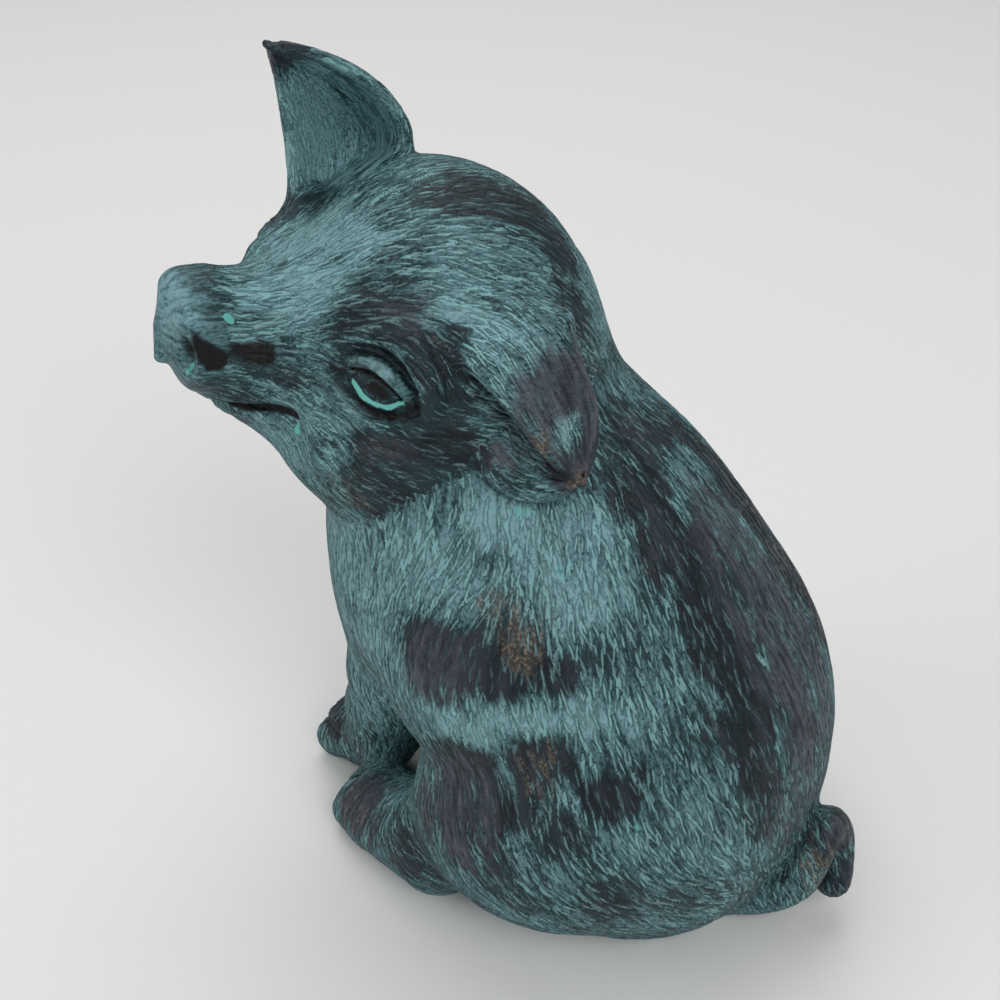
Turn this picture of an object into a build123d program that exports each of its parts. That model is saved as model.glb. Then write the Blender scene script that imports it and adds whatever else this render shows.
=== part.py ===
from build123d import *
import os

# Sitting piglet figurine, hollow cast in sections, with its head turned to its left.
# Millimetres. X points to the pig's left, its body faces -Y, Z is up.
# The origin is on the floor, on the body's middle plane.

# Joints between the castings
wall = 5.0
bond_gap = 0.2
pin_gap = 0.1

# Body
body_height = 112.0
body_width = 92.0
body_depth = 112.0
# Each row is one level of the body: height, front, back and half width, as shares of the three sizes
body_level_shares = (
    (0.00, -0.08, 0.41, 0.33),
    (0.09, -0.14, 0.46, 0.42),
    (0.27, -0.25, 0.51, 0.50),
    (0.48, -0.47, 0.48, 0.48),
    (0.70, -0.50, 0.36, 0.42),
    (0.86, -0.48, 0.25, 0.37),
    (1.00, -0.46, 0.10, 0.29),
)
cavity_levels = slice(1, 5)
cavity_top = 78.0
cavity_top_share = 0.45

haunch_side = 27.8
haunch_back = 8.6
haunch_height = 30.4
haunch_width = 50.0
haunch_length = 62.4
haunch_thickness = 52.0
haunch_tilt = 11.0

flank_side = 24.3
flank_back = -5.0
flank_height = 63.4
flank_width = 41.2
flank_length = 51.4
flank_thickness = 55.4

# Base
felt_thickness = 1.6
plate_thickness = 3.0
plate_width = 48.0
plate_depth = 42.0
plate_back = 18.5
plate_gap = 0.15
ledge = 4.0

# Head, in its own directions: left, forward and up from its centre
head_x = -1.0
head_y = -33.6
head_z = 120.4
head_yaw = 54.6
head_pitch = 5.2
head_roll = 9.2

skull_width = 72.8
skull_length = 63.0
skull_height = 64.0
cheek_side = 13.6
cheek_forward = 12.9
cheek_drop = 13.1
cheek_width = 35.4
cheek_length = 44.6
cheek_height = 35.2
brow_side = 14.4
brow_forward = 20.8
brow_rise = 8.5
brow_width = 17.0
brow_length = 19.4
brow_height = 14.0

snout_forward = 19.6
snout_drop = 3.0
snout_slope = 15.4
snout_length = 36.4
snout_root_radius = 21.4
snout_neck_radius = 10.2
snout_neck_share = 0.74
snout_disc_radius = 12.0
snout_disc_edge = 1.6

jaw_forward = 8.2
jaw_drop = 20.2
jaw_slope = 21.7
jaw_length = 31.0
jaw_root_radius = 15.4
jaw_root_width = 32.0
jaw_root_length = 31.0
jaw_tip_radius = 6.2
jaw_tip_width = 13.0
jaw_tip_length = 12.6

eye_side = 24.2
eye_forward = 22.2
eye_rise = 6.9
eye_width = 9.0
eye_length = 11.4
eye_height = 8.6

nostril_side = 5.2
nostril_radius = 2.3
nostril_depth = 4.0
mouth_drop = 8.6
mouth_reach = 18.0
mouth_width = 40.0
mouth_opening = 0.9
mouth_slope = 10.0

# Ears. Each row holds four places along a rim or the fold, from root to tip: front rim, fold, back rim.
# A place is forward, left and up from the head's centre, as shares of half the skull's width.
ear_left_shares = (
    ((0.30, 0.81, 0.55), (0.20, 1.07, 0.40), (0.04, 1.24, 0.19), (-0.21, 1.33, -0.08)),
    ((-0.11, 0.73, 0.54), (-0.30, 0.93, 0.39), (-0.37, 1.11, 0.14), (-0.23, 1.32, -0.09)),
    ((0.20, 1.06, -0.19), (0.11, 1.21, -0.24), (-0.05, 1.32, -0.20), (-0.22, 1.33, -0.11)),
)
ear_right_shares = (
    ((0.65, -0.60, 0.46), (0.67, -0.71, 0.77), (0.75, -0.66, 1.09), (0.86, -0.49, 1.40)),
    ((0.24, -0.77, 0.49), (0.20, -0.88, 0.73), (0.44, -0.77, 1.07), (0.85, -0.51, 1.39)),
    ((0.08, -0.44, 0.79), (0.12, -0.49, 1.02), (0.41, -0.49, 1.27), (0.85, -0.49, 1.40)),
)
ear_station_shares = (-0.16, 0.12, 0.40, 0.68, 0.93)
ear_root_thickness = 4.6
ear_tip_thickness = 1.8
ear_rim_share = 0.4
ear_pin_radius = 1.1
ear_pin_shares = (-0.20, 0.14)

# Tail: it leaves the rump low on the left, rises, and curls over to its tip
tail_radius = 3.4
tail_root_width = 9.6
tail_root_length = 16.0
tail_root_thickness = 9.2
tail_tip_length = 7.2
tail_curl_width = 9.5
tail_curl_height = 15.0
tail_curl_reach = 12.0
tail_root_side = 8.0
tail_root_back = 48.0
tail_root_height = 7.0
tail_pin_radius = 1.5
tail_pin_length = 14.0
# Each row is a place on the tail, as shares of the curl's width, reach and height
tail_place_shares = (
    (0.10, -0.10, -0.05),
    (0.05, 0.42, 0.00),
    (-0.05, 0.82, 0.23),
    (-0.13, 1.00, 0.60),
    (-0.34, 1.08, 0.90),
    (-0.74, 1.18, 1.07),
    (-1.07, 1.33, 0.90),
    (-1.07, 1.44, 0.53),
    (-0.76, 1.46, 0.29),
)

# Forelegs. Each row is one level of the leg: height, side, front and radius, as shares of the leg's sizes
foreleg_height = 56.0
foreleg_side = 15.4
foreleg_front = 43.0
foreleg_radius = 11.0
foreleg_level_shares = (
    (1.00, 1.07, 0.78, 1.18),
    (0.75, 1.00, 0.84, 1.00),
    (0.30, 0.84, 1.00, 0.76),
    (0.00, 0.74, 1.06, 0.70),
)
fore_toe_side = 9.8
fore_toe_front = 49.2
fore_toe_height = 9.0
fore_toe_width = 16.8
fore_toe_length = 24.0
fore_toe_thickness = 19.2
foreleg_pin_share = 0.20
foreleg_pin_radius = 2.0
foreleg_pin_length = 18.0

# Hind feet
hind_foot_side = 31.0
hind_foot_front = 24.0
hind_foot_height = 10.0
hind_foot_width = 23.0
hind_foot_length = 38.0
hind_foot_thickness = 22.0
hind_foot_turn = 8.0
hind_toe_side = 27.8
hind_toe_front = 33.0
hind_toe_height = 8.0
hind_toe_width = 19.0
hind_toe_length = 26.0
hind_toe_thickness = 17.0
hind_pin_front = 14.0
hind_pin_radius = 2.0
hind_pin_length = 16.0

cleft_width = 1.2
cleft_depth = 3.4

# Neck
neck_dowel_radius = 7.0
neck_dowel_length = 30.0
neck_dowel_chamfer = 0.5
neck_dowel_lean = 22.0
neck_dowel_reach = 32.5

head_turn = Rot(0, 0, head_yaw) * Rot(-head_pitch, 0, 0) * Rot(0, head_roll, 0)
head_seat = Pos(head_x, head_y, head_z) * head_turn


def on_head(left, forward, up):
    """Seat at a place on the head: its x axis points left, its y axis back and its z axis up."""
    return head_seat * Pos(left, -forward, up)


def ahead(left, forward, up, rise):
    """Plane at a place on the head: its x axis points forward and up by rise, its y axis left."""
    return Plane(on_head(left, forward, up) * Rot(0, 0, -90) * Rot(0, -rise, 0))


def ellipsoid(seat, width, length, height):
    """Ellipsoid in two halves, with its three sizes along the seat's x, y and z axes."""
    flat_side_at_seat = (Align.CENTER, Align.MIN, Align.CENTER)
    ball = Sphere(width / 2, arc_size3=180, align=flat_side_at_seat, mode=Mode.PRIVATE)
    half = scale(ball, by=(1, length / width, height / width), mode=Mode.PRIVATE)
    add([seat * half, seat * Rot(0, 0, 180) * half])


def turned(plane, outline):
    """Solid turned about the plane's x axis from an outline of places along and away from it."""
    with BuildSketch(plane) as profile:
        with BuildLine():
            Polyline(*outline, close=True)
        make_face()
    revolve(profile.sketch, axis=Axis(plane.origin, plane.x_dir))


def level_sketch(height, front, back, half_width):
    """Ellipse on one level of the body."""
    with BuildSketch(Plane.XY.offset(height)) as level:
        with Locations((0, (front + back) / 2)):
            Ellipse(half_width, (back - front) / 2)
    return level.sketch


def add_body(extra):
    """Belly, chest, shoulders, flanks and haunches, grown all round by extra."""
    levels = []
    for height, front, back, half in body_level_shares:
        y_front, y_back = body_depth * front - extra, body_depth * back + extra
        levels.append(level_sketch(body_height * height, y_front, y_back, body_width * half + extra))
    loft(levels)
    for side in (1, -1):
        flank = Pos(side * flank_side, flank_back, flank_height)
        ellipsoid(flank, flank_width + 2 * extra, flank_length + 2 * extra, flank_thickness + 2 * extra)
        haunch = Pos(side * haunch_side, haunch_back, haunch_height) * Rot(haunch_tilt, 0, 0)
        ellipsoid(haunch, haunch_width + 2 * extra, haunch_length + 2 * extra, haunch_thickness + 2 * extra)


def add_head(extra):
    """Skull, cheeks, brows, snout and jaw, grown all round by extra."""
    ellipsoid(on_head(0, 0, 0), skull_width + 2 * extra, skull_length + 2 * extra, skull_height + 2 * extra)
    for side in (1, -1):
        cheek = on_head(side * cheek_side, cheek_forward, -cheek_drop)
        ellipsoid(cheek, cheek_width + 2 * extra, cheek_length + 2 * extra, cheek_height + 2 * extra)
        brow = on_head(side * brow_side, brow_forward, brow_rise)
        ellipsoid(brow, brow_width + 2 * extra, brow_length + 2 * extra, brow_height + 2 * extra)
    disc_start = snout_neck_share * snout_length
    turned(
        ahead(0, snout_forward, -snout_drop, snout_slope),
        (
            (0, 0),
            (0, snout_root_radius + extra),
            (disc_start, snout_neck_radius + extra),
            (snout_length - snout_disc_edge, snout_disc_radius + extra),
            (snout_length + extra, snout_disc_radius - snout_disc_edge),
            (snout_length + extra, 0),
        ),
    )
    jaw = ahead(0, jaw_forward, -jaw_drop, jaw_slope)
    turned(
        jaw,
        (
            (0, 0),
            (0, jaw_root_radius + extra),
            (jaw_length, jaw_tip_radius + extra),
            (jaw_length, 0),
        ),
    )
    root, tip = jaw.location, jaw.location * Pos(jaw_length, 0, 0)
    ellipsoid(root, jaw_root_length + 2 * extra, jaw_root_width + 2 * extra, 2 * (jaw_root_radius + extra))
    ellipsoid(tip, jaw_tip_length + 2 * extra, jaw_tip_width + 2 * extra, 2 * (jaw_tip_radius + extra))


def bore(plane, radius, length, mode=Mode.SUBTRACT):
    """Round bar or hole along the plane's z axis, centred on the plane."""
    with Locations(plane):
        Cylinder(radius, length, mode=mode)


with BuildPart() as body_room:
    add_body(bond_gap)

with BuildPart() as head_room:
    add_head(bond_gap)

# The neck dowel stands on a line from the head's centre down into the shoulders
neck_line = Plane(Pos(head_x, head_y, head_z) * Rot(neck_dowel_lean, 0, 0))
neck_place = neck_line.offset(-neck_dowel_reach)


def ear_point(row, share):
    """Place at a share along the smooth curve that passes a row's four places in equal steps."""
    s = 3 * share
    weights = (
        -(s - 1) * (s - 2) * (s - 3) / 6,
        s * (s - 2) * (s - 3) / 2,
        -s * (s - 1) * (s - 3) / 2,
        s * (s - 1) * (s - 2) / 6,
    )
    forward, left, up = (sum(w * place[axis] for w, place in zip(weights, row)) for axis in range(3))
    reach = skull_width / 2
    return on_head(left * reach, forward * reach, up * reach).position


def ear_frame(shares, share):
    """Plane of one cut across the ear, with the place of its fold on that plane."""
    front, fold, back = (ear_point(row, share) for row in shares)
    plane = Plane(origin=(front + back) / 2, x_dir=back - front, z_dir=(back - front).cross(fold - front))
    return plane, plane.to_local_coords(fold), (back - front).length / 2


def ear_section(shares, share):
    """Crescent cut across the ear: thick at the fold, thin at both rims."""
    plane, fold, half = ear_frame(shares, share)
    thickness = ear_root_thickness + (ear_tip_thickness - ear_root_thickness) * max(share, 0)
    outward = Vector(fold.X, fold.Y).normalized()
    edge = outward * thickness * ear_rim_share
    front, back = Vector(-half, 0), Vector(half, 0)
    middle = Vector(fold.X, fold.Y)
    with BuildSketch(plane) as section:
        with BuildLine():
            Bezier(front, 2 * middle, back)
            Line(back, back + edge)
            Bezier(back + edge, 2 * (middle + outward * thickness) - edge, front + edge)
            Line(front + edge, front)
        make_face()
    return section.sketch


def ear_pin_plane(shares):
    """Plane across the ear pin, halfway along it, and the pin's length."""
    ends = []
    for share in ear_pin_shares:
        plane, fold, half = ear_frame(shares, share)
        outward = Vector(fold.X, fold.Y).normalized()
        ends.append(plane.from_local_coords(fold + outward * ear_root_thickness / 2))
    return Plane(origin=(ends[0] + ends[1]) / 2, z_dir=ends[1] - ends[0]), (ends[1] - ends[0]).length


with BuildPart() as torso_shell:
    add_body(0)
    split(bisect_by=Plane.XY, keep=Keep.TOP)
    add(head_room.part, mode=Mode.SUBTRACT)
    # The cavity follows the body's levels, one wall inside them
    rebate = felt_thickness + plate_thickness
    with BuildSketch(Plane.XY.offset(rebate)) as mouth:
        with Locations((0, plate_back)):
            Ellipse(plate_width / 2 - ledge, plate_depth / 2 - ledge)
    rooms = [mouth.sketch]
    for height, front, back, half in body_level_shares[cavity_levels]:
        y_front, y_back = body_depth * front + wall, body_depth * back - wall
        z = max(body_height * height, 2 * rebate)
        rooms.append(level_sketch(min(z, cavity_top - wall), y_front, y_back, body_width * half - wall))
    height, front, back, half = body_level_shares[cavity_levels.stop - 1]
    middle = body_depth * (front + back) / 2
    reach = body_depth * (back - front) / 2 * cavity_top_share
    top_half = body_width * half * cavity_top_share
    rooms.append(level_sketch(cavity_top, middle - reach, middle + reach, top_half))
    loft(rooms, mode=Mode.SUBTRACT)
    with BuildSketch(Plane.XY) as rebate_outline:
        with Locations((0, plate_back)):
            Ellipse(plate_width / 2 + plate_gap, plate_depth / 2 + plate_gap)
    extrude(rebate_outline.sketch, amount=rebate, mode=Mode.SUBTRACT)
    bore(neck_place, neck_dowel_radius + pin_gap, neck_dowel_length)

with BuildPart() as neck_dowel:
    bore(neck_place, neck_dowel_radius, neck_dowel_length, Mode.ADD)
    chamfer(neck_dowel.edges().filter_by(GeomType.CIRCLE), neck_dowel_chamfer)

with BuildPart() as head_hollow:
    ellipsoid(on_head(0, 0, 0), skull_width - 2 * wall, skull_length - 2 * wall, skull_height - 2 * wall)

with BuildPart() as head_shell:
    add_head(0)
    for side in (1, -1):
        ellipsoid(on_head(side * eye_side, eye_forward, eye_rise), eye_width, eye_length, eye_height)
    add(head_hollow.part, mode=Mode.SUBTRACT)
    bore(neck_place, neck_dowel_radius + pin_gap, neck_dowel_length)
    snout = ahead(0, snout_forward, -snout_drop, snout_slope)
    for side in (1, -1):
        entry = snout.from_local_coords(Vector(snout_length, side * nostril_side, 0))
        bore(Plane(origin=entry, z_dir=snout.x_dir), nostril_radius, 2 * nostril_depth)
    with Locations(ahead(0, snout_forward + mouth_reach, -mouth_drop, mouth_slope)):
        lips = (Align.MIN, Align.CENTER, Align.CENTER)
        Box(mouth_width, mouth_width, mouth_opening, align=lips, mode=Mode.SUBTRACT)

ears = {}
for side, shares in (("left", ear_left_shares), ("right", ear_right_shares)):
    pin_place, pin_length = ear_pin_plane(shares)
    with BuildPart() as ear:
        loft([ear_section(shares, share) for share in ear_station_shares])
        add(head_room.part, mode=Mode.SUBTRACT)
        add(body_room.part, mode=Mode.SUBTRACT)
        bore(pin_place, ear_pin_radius + pin_gap, pin_length)
    with BuildPart() as ear_pin:
        bore(pin_place, ear_pin_radius, pin_length, Mode.ADD)
    ears["ear_" + side] = ear
    ears["ear_pin_" + side] = ear_pin

with head_shell:
    for shares in (ear_left_shares, ear_right_shares):
        pin_place, pin_length = ear_pin_plane(shares)
        bore(pin_place, ear_pin_radius + pin_gap, pin_length)


def tail_point(place):
    """Place on the tail's middle line."""
    side, reach, height = place
    return (
        tail_root_side + tail_curl_width * side,
        tail_root_back + tail_curl_reach * reach,
        tail_root_height + tail_curl_height * height,
    )


tail_pin_start = Plane(origin=tail_point(tail_place_shares[1]), z_dir=(0, 1, 0))
tail_pin_place = tail_pin_start.offset(-tail_pin_length / 4)

with BuildPart() as tail:
    with BuildLine() as tail_line:
        Spline(*(tail_point(place) for place in tail_place_shares))
    with BuildSketch(Plane(origin=tail_line.line @ 0, z_dir=tail_line.line % 0)) as tail_round:
        Circle(tail_radius)
    sweep(tail_round.sketch, path=tail_line.line)
    ellipsoid(Pos(tail_line.line @ 1), tail_tip_length, 2 * tail_radius, 2 * tail_radius)
    tail_root = Pos(tail_point(tail_place_shares[1]))
    ellipsoid(tail_root, tail_root_width, tail_root_length, tail_root_thickness)
    add(body_room.part, mode=Mode.SUBTRACT)
    bore(tail_pin_place, tail_pin_radius + pin_gap, tail_pin_length)

with BuildPart() as tail_pin:
    bore(tail_pin_place, tail_pin_radius, tail_pin_length, Mode.ADD)


def foreleg_level(side, share_row):
    """Place and radius of one level of a foreleg."""
    height, out, front, radius = share_row
    place = (side * foreleg_side * out, -foreleg_front * front, foreleg_height * height)
    return place, foreleg_radius * radius


def foreleg_pin_plane(side):
    """Plane across the foreleg pin, halfway along it."""
    upper, lower = (Vector(foreleg_level(side, row)[0]) for row in foreleg_level_shares[:2])
    return Plane(origin=lower + (upper - lower) * foreleg_pin_share, z_dir=upper - lower)


def hind_pin_plane(side):
    """Plane across the hind foot's pin, halfway along it."""
    return Plane(origin=(side * hind_foot_side, -hind_pin_front, hind_foot_height), z_dir=(0, 1, 0))


def add_toes(seat, width, length, height):
    """Rounded toes with their cleft in front."""
    ellipsoid(seat, width, length, height)
    with Locations(seat * Pos(0, -length / 2, 0)):
        Box(cleft_width, 2 * cleft_depth, height, mode=Mode.SUBTRACT)


limbs = {}
for name, side in (("left", 1), ("right", -1)):
    turned_in = Rot(0, 0, -side * hind_foot_turn)
    with BuildPart() as foreleg:
        levels = []
        for row in foreleg_level_shares:
            place, radius = foreleg_level(side, row)
            with BuildSketch(Plane(place)) as level:
                Circle(radius)
            levels.append(level.sketch)
        loft(levels)
        toes = Pos(side * fore_toe_side, -fore_toe_front, fore_toe_height)
        add_toes(toes, fore_toe_width, fore_toe_length, fore_toe_thickness)
        split(bisect_by=Plane.XY, keep=Keep.TOP)
        add(body_room.part, mode=Mode.SUBTRACT)
        bore(foreleg_pin_plane(side), foreleg_pin_radius + pin_gap, foreleg_pin_length)
    with BuildPart() as foreleg_pin:
        bore(foreleg_pin_plane(side), foreleg_pin_radius, foreleg_pin_length, Mode.ADD)
    with BuildPart() as hind_foot:
        foot = Pos(side * hind_foot_side, -hind_foot_front, hind_foot_height) * turned_in
        ellipsoid(foot, hind_foot_width, hind_foot_length, hind_foot_thickness)
        toes = Pos(side * hind_toe_side, -hind_toe_front, hind_toe_height) * turned_in
        add_toes(toes, hind_toe_width, hind_toe_length, hind_toe_thickness)
        split(bisect_by=Plane.XY, keep=Keep.TOP)
        add(body_room.part, mode=Mode.SUBTRACT)
        bore(hind_pin_plane(side), hind_pin_radius + pin_gap, hind_pin_length)
    with BuildPart() as hind_foot_pin:
        bore(hind_pin_plane(side), hind_pin_radius, hind_pin_length, Mode.ADD)
    limbs["foreleg_" + name] = foreleg
    limbs["foreleg_pin_" + name] = foreleg_pin
    limbs["hind_foot_" + name] = hind_foot
    limbs["hind_foot_pin_" + name] = hind_foot_pin

with torso_shell:
    for side in (1, -1):
        bore(foreleg_pin_plane(side), foreleg_pin_radius + pin_gap, foreleg_pin_length)
        bore(hind_pin_plane(side), hind_pin_radius + pin_gap, hind_pin_length)
    bore(tail_pin_place, tail_pin_radius + pin_gap, tail_pin_length)

with BuildPart() as base_plate:
    with BuildSketch(Plane.XY.offset(felt_thickness)) as plate_outline:
        with Locations((0, plate_back)):
            Ellipse(plate_width / 2, plate_depth / 2)
    extrude(plate_outline.sketch, amount=plate_thickness)

with BuildPart() as felt_pad:
    with BuildSketch(Plane.XY) as felt_outline:
        with Locations((0, plate_back)):
            Ellipse(plate_width / 2, plate_depth / 2)
    extrude(felt_outline.sketch, amount=felt_thickness)

pieces = {
    "torso_shell": torso_shell,
    "head_shell": head_shell,
    "neck_dowel": neck_dowel,
    "tail": tail,
    "tail_pin": tail_pin,
    "base_plate": base_plate,
    "felt_pad": felt_pad,
    **ears,
    **limbs,
}
os.makedirs("parts", exist_ok=True)
for name, piece in pieces.items():
    piece.part.label = name
    export_step(piece.part, f"parts/{name}.step")
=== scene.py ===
"""Looks of a sitting piglet figurine in brushed verdigris bronze, built around its packed castings.

Sizes are in millimetres until a mesh is made, and metres after that. X points to the piglet's left, its body
faces -Y and Z is up. Places on the head are forward, left and up from the head's centre.
"""

import logging
import math
from dataclasses import dataclass
from enum import Enum
from functools import lru_cache
from typing import Callable

import bpy
import numpy as np
from mathutils import Matrix, Vector


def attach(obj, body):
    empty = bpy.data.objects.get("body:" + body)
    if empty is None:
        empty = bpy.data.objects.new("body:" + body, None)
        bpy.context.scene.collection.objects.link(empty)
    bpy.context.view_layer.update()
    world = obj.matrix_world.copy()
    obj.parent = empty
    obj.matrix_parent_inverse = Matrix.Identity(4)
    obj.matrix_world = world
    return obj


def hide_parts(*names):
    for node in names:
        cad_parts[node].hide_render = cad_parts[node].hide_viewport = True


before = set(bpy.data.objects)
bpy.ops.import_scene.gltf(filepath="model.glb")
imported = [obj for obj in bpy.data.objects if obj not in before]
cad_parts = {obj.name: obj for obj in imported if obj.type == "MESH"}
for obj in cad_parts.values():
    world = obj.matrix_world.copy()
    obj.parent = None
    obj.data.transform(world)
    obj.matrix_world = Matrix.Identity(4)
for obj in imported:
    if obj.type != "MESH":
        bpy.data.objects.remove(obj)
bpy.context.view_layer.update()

Array = np.ndarray
Triple = tuple[float, float, float]
Distance = Callable[[Array], Array]
Change = Callable[[Array, Array], Array]
PatchRow = tuple[Triple, Triple, float]
Path = tuple[Triple, ...]
Arc = tuple[tuple[float, float], ...]
Socket = bpy.types.NodeSocket

METRES = 0.001
BODY = "root"
LOG = logging.getLogger("piglet")


def blend(first: Array, second: Array, width: float) -> Array:
    """Join two distances with a fillet.

    Args:
        first: Distances to one form.
        second: Distances to the other form.
        width: How far the fillet reaches.

    Returns:
        Distances to both forms together.
    """
    reach = np.clip(width - np.abs(first - second), 0, None) / width
    return np.minimum(first, second) - reach * reach * width * 0.25


def carve(form: Array, tool: Array, width: float) -> Array:
    """Cut a tool out of a form and round the edge.

    Args:
        form: Distances to the form.
        tool: Distances to what is cut away.
        width: How far the rounding reaches.

    Returns:
        Distances to what is left.
    """
    return -blend(-form, tool, width)


def ease(value: Array, low: float, high: float) -> Array:
    """Smooth step from 0 at low to 1 at high."""
    share = np.clip((value - low) / (high - low), 0, 1)
    return share * share * (3 - 2 * share)


def length_of(vectors: Array) -> Array:
    """Length of each row."""
    return np.sqrt(np.einsum("ij,ij->i", vectors, vectors))


def unit(vectors: Array) -> Array:
    """Rows scaled to length one."""
    return vectors / (length_of(vectors)[:, None] + 1e-9)


def ball(points: Array, centre: Triple, radii: Triple, axes: Array | None = None) -> Array:
    """Distance to an ellipsoid.

    Args:
        points: Places to measure from.
        centre: Middle of the ellipsoid.
        radii: Half sizes along its axes.
        axes: Its axes as columns, or None for the row's own.

    Returns:
        Distances, negative inside.
    """
    local = points - np.asarray(centre, np.float32)
    if axes is not None:
        local = local @ np.asarray(axes, np.float32)
    scaled = local / np.asarray(radii, np.float32)
    near = length_of(scaled) + 1e-6
    slope = length_of(scaled / np.asarray(radii, np.float32)) + 1e-6
    return near * (near - 1) / slope


def rod(points: Array, start: Triple, end: Triple, start_radius: float, end_radius: float) -> Array:
    """Distance to a tapered rod with round ends.

    Args:
        points: Places to measure from.
        start: One end of the middle line.
        end: The other end.
        start_radius: Radius at the start.
        end_radius: Radius at the end.

    Returns:
        Distances, negative inside.
    """
    first, last = np.asarray(start, np.float32), np.asarray(end, np.float32)
    line = last - first
    share = np.clip(((points - first) @ line) / float(line @ line), 0, 1)
    radius = start_radius + share * (end_radius - start_radius)
    return length_of(points - first - share[:, None] * line) - radius


def rope(points: Array, path: list[Triple], radii: list[float], width: float) -> Array:
    """Distance to a chain of rods.

    Args:
        points: Places to measure from.
        path: The chain's corners.
        radii: Radius at each corner.
        width: Fillet between neighbouring rods.

    Returns:
        Distances, negative inside.
    """
    total = rod(points, path[0], path[1], radii[0], radii[1])
    for i in range(1, len(path) - 1):
        total = blend(total, rod(points, path[i], path[i + 1], radii[i], radii[i + 1]), width)
    return total


def change_near(total: Array, points: Array, path: list[Triple], reach: float, change: Change) -> Array:
    """Change distances only in the box round a path.

    Args:
        total: Distances so far.
        points: Places that they belong to.
        path: Places that the box holds.
        reach: Room left round them.
        change: Gives new distances from the old ones and their places.

    Returns:
        The distances with the change made.
    """
    marks = np.array(path, np.float32)
    near = np.flatnonzero(((points > marks.min(0) - reach) & (points < marks.max(0) + reach)).all(1))
    if not len(near):
        return total
    total = total.copy()
    total[near] = change(total[near], points[near])
    return total


def raise_rope(total: Array, points: Array, path: list[Triple], radii: list[float], width: float) -> Array:
    """Raise a soft ridge along a path.

    Args:
        total: Distances so far.
        points: Places that they belong to.
        path: Middle line of the ridge.
        radii: Its radius at each place.
        width: Fillet at its foot.

    Returns:
        Distances with the ridge.
    """
    reach = max(radii) + width + 2
    return change_near(total, points, path, reach, lambda d, p: blend(d, rope(p, path, radii, 0.5), width))


def press_rope(total: Array, points: Array, path: list[Triple], radii: list[float], width: float) -> Array:
    """Press a soft groove along a path.

    Args:
        total: Distances so far.
        points: Places that they belong to.
        path: Middle line of the groove.
        radii: Its radius at each place.
        width: Rounding at its edges.

    Returns:
        Distances with the groove.
    """
    reach = max(radii) + width + 2
    return change_near(total, points, path, reach, lambda d, p: carve(d, rope(p, path, radii, 0.3), width))


def curve_through(path: list[Triple], steps: int) -> list[Triple]:
    """Smooth curve through given corners.

    Args:
        path: Corners of the curve.
        steps: Places on each stretch.

    Returns:
        Places along the curve.
    """
    corners = np.array(path, float)
    ends = np.vstack([2 * corners[0] - corners[1], corners, 2 * corners[-1] - corners[-2]])
    places: list[Triple] = []
    for i in range(len(corners) - 1):
        a, b, c, d = ends[i : i + 4]
        for t in np.linspace(0, 1, steps, endpoint=False):
            square, cube = 2 * a - 5 * b + 4 * c - d, 3 * b - a - 3 * c + d
            places.append(tuple(0.5 * (2 * b + (c - a) * t + square * t**2 + cube * t**3)))
    return places + [tuple(corners[-1])]


def tilt_forward(degrees: float) -> Array:
    """Axes of a form whose top leans towards -Y."""
    c, s = math.cos(math.radians(degrees)), math.sin(math.radians(degrees))
    return np.array([[1, 0, 0], [0, c, -s], [0, s, c]], np.float32)


@dataclass(frozen=True)
class HeadSeat:
    """Where the head sits and how it is turned."""

    centre: Triple = (-1.05, -33.64, 120.42)
    yaw: float = 54.58
    pitch: float = 5.17
    roll: float = 9.23

    def axes(self) -> Array:
        """Forward, left and up as columns."""
        yaw, pitch, roll = (math.radians(a) for a in (self.yaw, self.pitch, self.roll))
        level_share = math.cos(pitch)
        forward = np.array([math.sin(yaw) * level_share, -math.cos(yaw) * level_share, math.sin(pitch)])
        level = np.cross([0, 0, 1], forward)
        level /= np.linalg.norm(level)
        upright = np.cross(forward, level)
        left = math.cos(roll) * level - math.sin(roll) * upright
        up = math.cos(roll) * upright + math.sin(roll) * level
        return np.stack([forward, left, up], 1).astype(np.float32)

    def local(self, points: Array) -> Array:
        """Forward, left and up of each place."""
        return (points - np.asarray(self.centre, np.float32)) @ self.axes()


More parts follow.
